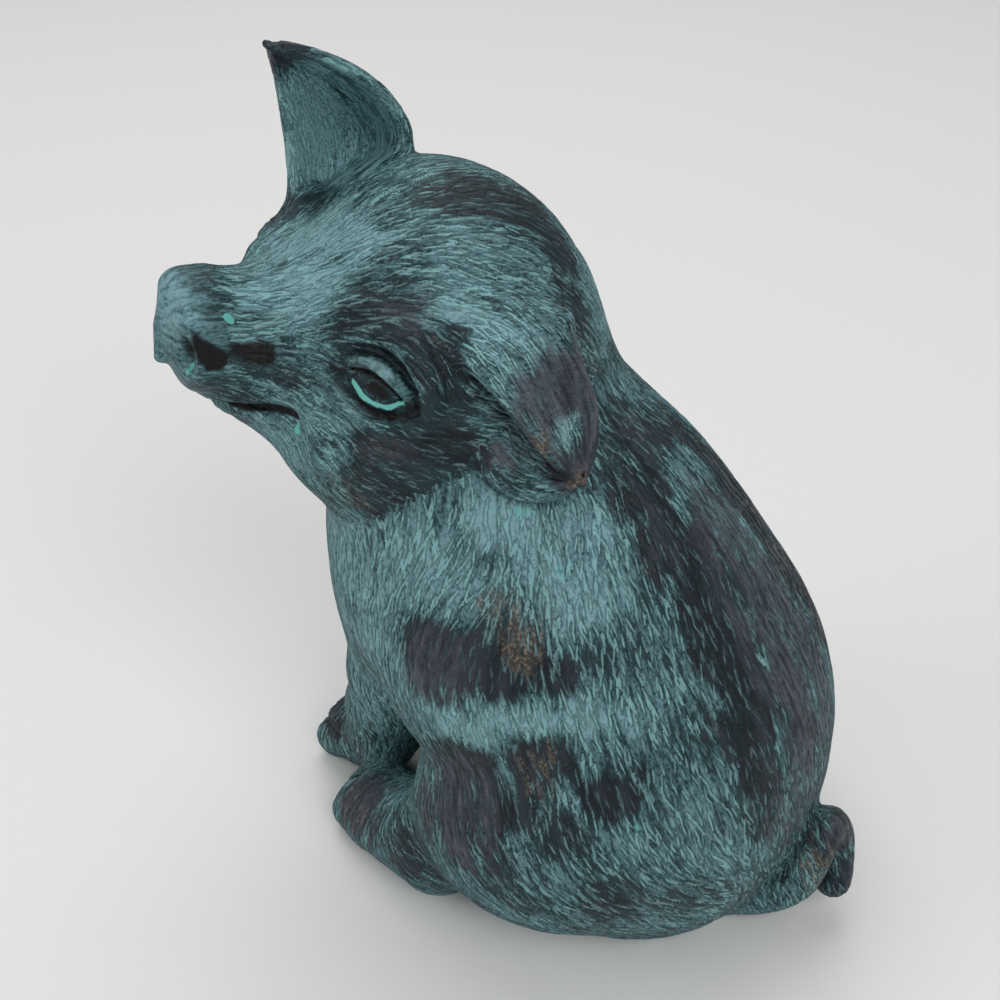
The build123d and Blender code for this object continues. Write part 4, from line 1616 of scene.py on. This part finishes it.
@dataclass(frozen=True)
class VerdigrisBronze:
    """Dark bronze brushed with verdigris and rubbed through to brown gold; its shade in creases and its lilac
    sheen are painted.
    """

    turn: Triple = (-0.36, 0.0, 0.0)
    stretch: Triple = (1.0, 1.0, 0.2)
    bronze: Triple = (0.003, 0.006, 0.011)
    slate: Triple = (0.022, 0.028, 0.040)
    deep: Triple = (0.008, 0.032, 0.038)
    verdigris: Triple = (0.084, 0.182, 0.206)
    pale: Triple = (0.205, 0.375, 0.405)
    dull: Triple = (0.100, 0.185, 0.205)
    turquoise: Triple = (0.235, 0.460, 0.475)
    bright: Triple = (0.130, 0.460, 0.420)
    ink_and_shade: Triple = (0.0015, 0.0015, 0.003)
    plum: Triple = (0.018, 0.018, 0.028)
    lilac_sheen: Triple = (0.112, 0.112, 0.146)
    brown: Triple = (0.070, 0.055, 0.045)
    gold: Triple = (0.270, 0.220, 0.150)
    roughness: tuple[float, float] = (0.42, 0.66)
    metallic: float = 0.08
    specular: float = 0.3
    relief_depth: float = 0.00022

    def make(self, name: str) -> bpy.types.Material:
        """Build the finish.

        Args:
            name: The material's name.

        Returns:
            The material.
        """
        w = NodeWriter(name)
        _, rub, cover, shade = w.channels("patina")
        stroke, luck, fine, smear = w.channels("tooling")
        ink_and_shade, bright, pale, plum = w.channels("paint")
        streak = w.noise(2400, 2, self.stretch, self.turn)
        grain = w.noise(1500, 3)
        cloud = w.noise(60, 2)
        ground = w.mix(w.step(w.plus(smear, w.times(grain, 0.3)), 0.45, 1.0), self.bronze, self.slate)
        ground = w.mix(w.step(cover, 0.0, 0.35), ground, self.deep)
        level = cover
        for field, share in ((fine, 0.75), (streak, 1.1), (grain, 0.9), (cloud, 0.35)):
            level = w.plus(level, w.times(w.minus(field, 0.5), share))
        covered = w.step(level, 0.16, 0.68)
        colour = w.mix(covered, ground, self.verdigris)
        colour = w.mix(w.step(level, 0.55, 1.20), colour, self.pale)
        # Plum patches: a dark purple-grey tone lightened to lilac by noise; the lilac is a painted sheen.
        tone = w.mix(w.step(w.plus(fine, w.times(streak, 0.6)), 0.35, 1.25), self.plum, self.lilac_sheen)
        colour = w.mix(w.times(plum, 0.85, True), colour, tone)
        # Painted shade: a dark halo of the deep colour round each tooled stroke, as shadow in its groove.
        colour = w.mix(w.times(w.step(stroke, 0.10, 0.45), 0.36), colour, self.deep)
        edge = w.plus(stroke, w.times(w.minus(streak, 0.5), 0.5))
        line = w.times(w.step(edge, 0.62, 0.86), w.step(w.plus(luck, cover), 0.10, 0.9))
        line = w.times(line, w.minus(1.0, w.times(plum, 0.8), True))
        glint = w.mix(w.step(w.plus(cover, w.times(luck, 0.5)), 0.25, 1.1), self.dull, self.turquoise)
        colour = w.mix(w.times(line, 0.9), colour, glint)
        rubbed = w.step(w.plus(w.plus(streak, fine), w.times(rub, 0.9)), 1.30, 2.0)
        rubbed = w.times(rubbed, w.minus(1.0, w.times(line, 0.8)))
        metal_tone = w.mix(w.step(grain, 0.48, 0.66), self.brown, self.gold)
        colour = w.mix(w.times(rubbed, 0.7), colour, metal_tone)
        colour = w.mix(w.times(pale, w.step(w.plus(fine, grain), 0.40, 1.35)), colour, self.pale)
        pits = w.step(w.noise(3000, 2), 0.56, 0.70)
        colour = w.mix(w.times(pits, 0.45), colour, self.bronze)
        # Painted shade: creases darken toward the bronze colour by how deep they are.
        colour = w.mix(w.times(shade, 0.8), colour, self.bronze)
        lit = w.step(w.plus(bright, w.times(w.plus(streak, fine), 0.3)), 0.80, 1.10)
        # Black: ink spots, and painted shade in the mouth, eye creases and nostrils.
        colour = w.mix(ink_and_shade, w.mix(lit, colour, self.bright), self.ink_and_shade)
        w.feed(w.shader.inputs["Base Color"], colour)
        w.shader.inputs["Metallic"].default_value = self.metallic
        w.shader.inputs["Specular IOR Level"].default_value = self.specular
        rough = w.tree.nodes.new("ShaderNodeMapRange")
        w.feed(rough.inputs[0], w.plus(w.times(covered, 0.7), w.times(grain, 0.3)))
        rough.inputs[3].default_value, rough.inputs[4].default_value = self.roughness
        w.feed(w.shader.inputs["Roughness"], rough.outputs[0])
        relief = w.plus(w.times(streak, 1.0), w.times(grain, 0.5))
        w.bump(w.minus(relief, w.times(w.step(stroke, 0.4, 0.85), 0.5)), self.relief_depth, 0.9)
        return w.material


@dataclass(frozen=True)
class TurnedSteel:
    """Plain rod with fine turning marks round it."""

    colour: Triple = (0.42, 0.42, 0.43)
    roughness: float = 0.34

    def make(self, name: str) -> bpy.types.Material:
        """Build the finish."""
        w = NodeWriter(name)
        rings = w.noise(400, 3, (1, 1, 14))
        w.feed(w.shader.inputs["Base Color"], w.mix(rings, tuple(0.8 * c for c in self.colour), self.colour))
        w.shader.inputs["Metallic"].default_value = 1.0
        w.shader.inputs["Roughness"].default_value = self.roughness
        w.bump(rings, 0.00004)
        return w.material


@dataclass(frozen=True)
class RolledBrass:
    """Dull rolled sheet with light scratches and brown tarnish."""

    colour: Triple = (0.40, 0.28, 0.12)
    tarnish: Triple = (0.10, 0.075, 0.045)
    roughness: float = 0.42

    def make(self, name: str) -> bpy.types.Material:
        """Build the finish."""
        w = NodeWriter(name)
        scratches = w.noise(700, 3, (1, 14, 1))
        clouds = w.noise(90, 3)
        w.feed(w.shader.inputs["Base Color"], w.mix(w.step(clouds, 0.4, 0.7), self.colour, self.tarnish))
        w.shader.inputs["Metallic"].default_value = 1.0
        w.shader.inputs["Roughness"].default_value = self.roughness
        w.bump(scratches, 0.00005)
        return w.material


@dataclass(frozen=True)
class PressedFelt:
    """Dark felt with matted fibres and a little fluff."""

    colour: Triple = (0.030, 0.036, 0.038)
    fluff: Triple = (0.085, 0.095, 0.098)
    roughness: float = 0.95
    sheen: float = 0.25

    def make(self, name: str) -> bpy.types.Material:
        """Build the finish."""
        w = NodeWriter(name)
        fibres = w.noise(2600, 4)
        w.feed(w.shader.inputs["Base Color"], w.mix(w.step(fibres, 0.5, 0.8), self.colour, self.fluff))
        w.shader.inputs["Roughness"].default_value = self.roughness
        w.shader.inputs["Sheen Weight"].default_value = self.sheen
        w.bump(fibres, 0.0003)
        return w.material


@dataclass(frozen=True)
class Casting:
    """One casting of the figurine: meshed, tooled with hair and given its patina and painted shade.

    Args:
        node: The node that it stands for.
        pitch: Grid cell of its first mesh.
        levels: Times that mesh is divided.
        head_share: 1 where its hair follows the head, 0 where it follows the body.
        hair: Depth of its hair against the usual depth.
        scale: Size of its strokes against the usual size.
        coat: Its hair.
    """

    node: str
    pitch: float
    levels: int
    head_share: float
    hair: float
    scale: float
    coat: Coat = Coat()

    def build(self, figure: Figure, finish: bpy.types.Material) -> bpy.types.Object:
        """Make the casting.

        Args:
            figure: The shared surface.
            finish: Its finish.

        Returns:
            The casting's object.
        """
        low, high = figure.box_of(self.node)
        skin = Skin(lambda p: figure.casting(self.node, p), low, high, self.pitch)
        mesh = bpy.data.meshes.new(self.node + "_rough")
        mesh.vertices.add(len(skin.places))
        mesh.vertices.foreach_set("co", skin.places.astype(np.float32).ravel())
        mesh.loops.add(4 * len(skin.quads))
        mesh.loops.foreach_set("vertex_index", skin.quads.astype(np.int32).ravel())
        mesh.polygons.add(len(skin.quads))
        mesh.polygons.foreach_set("loop_start", np.arange(0, 4 * len(skin.quads), 4, dtype=np.int32))
        mesh.update(calc_edges=True)
        rough = bpy.data.objects.new(self.node + "_rough", mesh)
        bpy.context.scene.collection.objects.link(rough)
        divide = rough.modifiers.new("divide", "SUBSURF")
        divide.levels = max(0, self.levels - (0))
        divide.render_levels = divide.levels
        fine = bpy.data.meshes.new_from_object(rough.evaluated_get(bpy.context.evaluated_depsgraph_get()))
        bpy.data.objects.remove(rough)
        bpy.data.meshes.remove(mesh)
        fine.name = self.node + "_cast"
        self.tool(fine, figure)
        fine.transform(Matrix.Scale(METRES, 4))
        fine.polygons.foreach_set("use_smooth", np.ones(len(fine.polygons), bool))
        fine.materials.append(finish)
        piece = bpy.data.objects.new(self.node + "_cast", fine)
        bpy.context.scene.collection.objects.link(piece)
        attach(piece, BODY)
        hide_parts(self.node)
        LOG.info("%s: %d faces", piece.name, len(fine.polygons))
        return piece

    def bare_share(self, points: Array) -> Array:
        """Where the surface is left smooth: eyes, nose disc, nostrils and underside.

        Args:
            points: Places on the surface.

        Returns:
            1 where it is smooth and 0 where it has hair.
        """
        head = Head()
        local = HeadSeat().local(points)
        q = np.stack([local[:, 0], np.abs(local[:, 1]), local[:, 2]], 1)
        e = head.on_eye(q)
        eye = 1 - ease(np.hypot((e[:, 0] + 0.3) / 7.6, (e[:, 1] - 0.6) / 5.0), 0.85, 1.15)
        eye = eye * (np.abs(e[:, 2]) < 7)
        nose = ease(local[:, 0], 45.0, 52.0)
        under = 1 - ease(points[:, 2], 1.0, 5.0)
        return np.maximum(np.maximum(eye, nose), under)

    def touches(self, points: Array) -> dict[Stain, Array]:
        """Painted touches of the face.

        Args:
            points: Places on the surface.

        Returns:
            How black (ink and painted shade), bright and pale each place is.
        """
        painted = (Stain.INK_AND_SHADE, Stain.BRIGHT, Stain.PALE)
        totals = {stain: np.zeros(len(points), np.float32) for stain in painted}
        if self.node != "head_shell":
            return totals
        local = HeadSeat().local(points)
        ragged = 0.8 * (mottle(points, 1.3, 95) - 0.5)
        for touch in face_touches():
            sides = local[:, 1] if touch.near_side_only else np.abs(local[:, 1])
            q = np.stack([local[:, 0], sides, local[:, 2]], 1)
            path = list(touch.path) + [tuple(c + 0.01 for c in touch.path[-1])]
            stations = np.linspace(0, 1, len(touch.radii))
            radii = np.interp(np.linspace(0, 1, len(path)), stations, touch.radii)
            gap = rope(q, path, list(radii), 0.2) + ragged * min(1.0, touch.soft)
            share = 1 - ease(gap, -0.5 * touch.soft, 0.5 * touch.soft)
            totals[touch.stain] = np.maximum(totals[touch.stain], share)
        return totals

    def patina(self, points: Array, flow: Array) -> tuple[Array, Array, Array, Array, Array]:
        """Patches of the finish.

        Args:
            points: Places on the surface.
            flow: Hair direction there.

        Returns:
            How dark, rubbed, covered, plum (with painted sheen) and bright each place is.
        """
        local = HeadSeat().local(points)
        ragged = self.coat.brushed(points, flow, 1.6, 7.0, 31) - 0.5
        cloud = mottle(points, 7.0, 41) - 0.5
        totals = {stain: np.zeros(len(points), np.float32) for stain in Stain}
        for patch in PATCHES:
            if patch.on_head != (self.head_share > 0.5):
                continue
            q = local if patch.on_head else points
            flip = (1, -1, 1) if patch.on_head else (-1, 1, 1)
            for mirror in ((1, 1, 1), flip) if patch.both_sides else ((1, 1, 1),):
                gap = (q - np.asarray(patch.place, np.float32) * mirror) / np.asarray(patch.radii, np.float32)
                inside = 1 - length_of(gap) * 0.62 + 0.55 * ragged + 0.35 * cloud
                share = patch.strength * ease(inside, 0.0, 0.75)
                totals[patch.stain] = np.maximum(totals[patch.stain], share)
        dark, rub, teal = (totals[s] for s in (Stain.DARK, Stain.GOLD, Stain.TEAL))
        drift = 0.34 * (mottle(points, 16.0, 51) - 0.5) + 0.22 * (mottle(points, 5.0, 61) - 0.5)
        cover = np.clip(0.48 + drift - 0.66 * dark + 0.50 * teal - 0.12 * rub, -0.2, 1.4)
        plum = np.clip(totals[Stain.PLUM_AND_SHEEN] - 0.8 * teal, 0, 1)
        return dark, rub, cover, plum, totals[Stain.BRIGHT]

    def tool(self, mesh: bpy.types.Mesh, figure: Figure) -> None:
        """Press the hair into the surface and store what the finish needs.

        Args:
            mesh: The divided mesh, in millimetres.
            figure: The shared surface.
        """
        count = len(mesh.vertices)
        points = np.empty(3 * count, np.float32)
        normals = np.empty(3 * count, np.float32)
        mesh.vertices.foreach_get("co", points)
        mesh.vertex_normals.foreach_get("vector", normals)
        points, normals = points.reshape(-1, 3), normals.reshape(-1, 3)
        flow = self.coat.direction(points, normals, np.full(count, self.head_share, np.float32))
        form = figure.forms()[self.node]
        if isinstance(form, Ear):
            flow = form.lie(points)
            flow = unit(flow - (flow * normals).sum(1)[:, None] * normals)
        bare = self.bare_share(points)
        stroke, mark = self.coat.strokes(points, normals, flow, self.scale, 11)
        fine = self.coat.brushed(points, flow, 0.55, self.coat.brushed_length, 21)
        smear = self.coat.brushed(points, flow, 2.2, 12.0, 25)
        lumps = mottle(points, 9.0, 81) + 0.5 * mottle(points, 4.0, 82) - 0.75
        dark, rub, cover, plum, lit = self.patina(points, flow)
        # Painted shade in creases, weaker on the ears and on bare places.
        shade = self.hollows(points, normals, figure) * (0.15 if isinstance(form, Ear) else 1 - 0.6 * bare)
        hairy = (1 - bare) * self.hair
        move = -self.coat.depth * ease(stroke, 0.35, 0.9) * hairy
        move = move + 0.10 * (fine - 0.5) * hairy + 0.35 * lumps * (1 - bare)
        # The fourth number is the painted shade in creases.
        self.store(mesh, "patina", (dark, rub, cover, shade))
        self.store(mesh, "tooling", (stroke * (1 - 0.9 * bare), mark, fine, smear))
        touches = self.touches(points)
        pale = touches[Stain.PALE]
        bright = np.maximum(touches[Stain.BRIGHT], lit)
        # Paint: black ink with painted shade, bright, pale, and plum tone with its painted lilac sheen.
        self.store(mesh, "paint", (touches[Stain.INK_AND_SHADE], bright, pale, plum * (1 - pale)))
        points = points + normals * move[:, None]
        points[:, 2] = np.maximum(points[:, 2], 0)
        mesh.vertices.foreach_set("co", points.astype(np.float32).ravel())

    def hollows(self, points: Array, normals: Array, figure: Figure) -> Array:
        """How deep in a crease each place is, which the finish paints as shade.

        Args:
            points: Places on the surface.
            normals: Outward directions there.
            figure: The shared surface.

        Returns:
            0 on open surface and 1 deep in a crease.
        """
        reach = 1.6
        gap = figure.casting(self.node, points + reach * normals)
        return np.clip(1 - gap / reach, 0, 1) ** 1.5

    def store(self, mesh: bpy.types.Mesh, name: str, columns: tuple[Array, Array, Array, Array]) -> None:
        """Keep four numbers for each vertex.

        Args:
            mesh: The mesh.
            name: The attribute's name.
            columns: The four numbers.
        """
        attribute = mesh.attributes.new(name, "FLOAT_COLOR", "POINT")
        attribute.data.foreach_set("color", np.stack(columns, 1).astype(np.float32).ravel())


CASTINGS = (
    Casting("torso_shell", 1.36, 2, 0.0, 1.0, 0.88),
    Casting("head_shell", 0.62, 1, 1.0, 0.7, 0.74),
    Casting("ear_left", 0.55, 1, 1.0, 0.2, 0.74),
    Casting("ear_right", 0.55, 1, 1.0, 0.4, 0.74),
    Casting("tail", 0.6, 1, 0.0, 0.5, 0.74),
    Casting("foreleg_left", 0.7, 1, 0.0, 0.8, 0.8),
    Casting("foreleg_right", 0.7, 1, 0.0, 0.8, 0.8),
    Casting("hind_foot_left", 0.7, 1, 0.0, 0.8, 0.8),
    Casting("hind_foot_right", 0.7, 1, 0.0, 0.8, 0.8),
)


@dataclass(frozen=True)
class Insides:
    """Hidden nodes that keep their solids and get their finishes."""

    pins: tuple[str, ...] = (
        "neck_dowel",
        "ear_pin_left",
        "ear_pin_right",
        "tail_pin",
        "foreleg_pin_left",
        "foreleg_pin_right",
        "hind_foot_pin_left",
        "hind_foot_pin_right",
    )

    def dress(self) -> None:
        """Give every kept node its material."""
        steel = TurnedSteel().make("turned_steel")
        for node in self.pins:
            self.paint(node, steel)
        self.paint("base_plate", RolledBrass().make("rolled_brass"))
        self.paint("felt_pad", PressedFelt().make("pressed_felt"))

    def paint(self, node: str, material: bpy.types.Material) -> None:
        """Put one material on a node's solid."""
        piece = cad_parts[node]
        for slot in piece.material_slots:
            slot.material = material
        LOG.info("%s: %s", node, material.name)


@dataclass(frozen=True)
class Studio:
    """Floor, lamps and camera."""

    azimuth: float = 118.0
    elevation: float = 35.6
    lens_angle: float = 40.0
    distance: float = 291.25
    target: Triple = (-1.8, -19.9, 81.0)
    floor_colour: Triple = (0.80, 0.80, 0.79)
    background: Triple = (0.86, 0.86, 0.86)

    def aim(self, piece: bpy.types.Object, place: Array, target: Array) -> None:
        """Point an object's -Z axis at a target.

        Args:
            piece: The camera or lamp.
            place: Where it stands, in metres.
            target: What it looks at, in metres.
        """
        piece.location = tuple(place)
        piece.rotation_euler = Vector(tuple(target - place)).to_track_quat("-Z", "Y").to_euler()

    def camera(self) -> None:
        """Stand the camera where the photograph was taken from."""
        az, el = math.radians(self.azimuth), math.radians(self.elevation)
        back = np.array([math.sin(az) * math.cos(el), -math.cos(az) * math.cos(el), math.sin(el)])
        target = np.array(self.target) * METRES
        data = bpy.data.cameras.new("camera")
        data.angle = math.radians(self.lens_angle)
        data.clip_start = 0.01
        camera = bpy.data.objects.new("camera", data)
        bpy.context.scene.collection.objects.link(camera)
        self.aim(camera, target + back * self.distance * METRES, target)
        bpy.context.scene.camera = camera

    def lamp(self, name: str, place: Triple, size: float, power: float) -> None:
        """Soft square lamp aimed at the figurine.

        Args:
            name: The lamp's name.
            place: Where it hangs, in metres.
            size: Length of its side in metres.
            power: Its power in watts.
        """
        data = bpy.data.lights.new(name, "AREA")
        data.size = size
        data.energy = power
        lamp = bpy.data.objects.new(name, data)
        bpy.context.scene.collection.objects.link(lamp)
        self.aim(lamp, np.array(place), np.array([0, 0, 0.08]))

    def floor(self) -> None:
        """Pale floor that reaches well past the view."""
        data = bpy.data.meshes.new("floor")
        data.from_pydata([(-6, -6, 0), (6, -6, 0), (6, 6, 0), (-6, 6, 0)], [], [(0, 1, 2, 3)])
        w = NodeWriter("pale_floor")
        paint = w.noise(240, 3)
        darker = tuple(0.985 * c for c in self.floor_colour)
        w.feed(w.shader.inputs["Base Color"], w.mix(paint, darker, self.floor_colour))
        w.shader.inputs["Roughness"].default_value = 0.55
        data.materials.append(w.material)
        floor = bpy.data.objects.new("floor", data)
        bpy.context.scene.collection.objects.link(floor)

    def world(self) -> None:
        """Even pale surroundings."""
        world = bpy.data.worlds.new("surroundings")
        bpy.context.scene.world = world
        world.use_nodes = True
        light = world.node_tree.nodes["Background"]
        light.inputs[0].default_value = (*self.background, 1)
        light.inputs[1].default_value = 0.46

    def build(self) -> None:
        """Set everything up."""
        self.floor()
        self.world()
        self.lamp("window", (0.55, 0.75, 0.95), 0.7, 6.2)
        self.lamp("ceiling", (-0.5, -0.35, 1.2), 1.0, 6.6)
        self.lamp("front", (0.7, -0.9, 0.6), 0.6, 3.0)
        self.camera()
        bpy.context.scene.view_settings.view_transform = "Standard"


def main() -> None:
    """Build the figurine's castings, dress its insides and light it."""
    logging.basicConfig(level=logging.INFO, format="%(message)s")
    figure = Figure()
    turn = Matrix(HeadSeat().axes().T.tolist()).to_euler()
    head_finish = VerdigrisBronze(tuple(turn), (0.2, 1.0, 1.0), slate=(0.010, 0.030, 0.038))
    head_bronze = head_finish.make("verdigris_bronze_head")
    body_bronze = VerdigrisBronze().make("verdigris_bronze_body")
    for casting in CASTINGS:
        casting.build(figure, head_bronze if casting.head_share > 0.5 else body_bronze)
    Insides().dress()
    Studio().build()


if __name__ == "__main__":
    main()
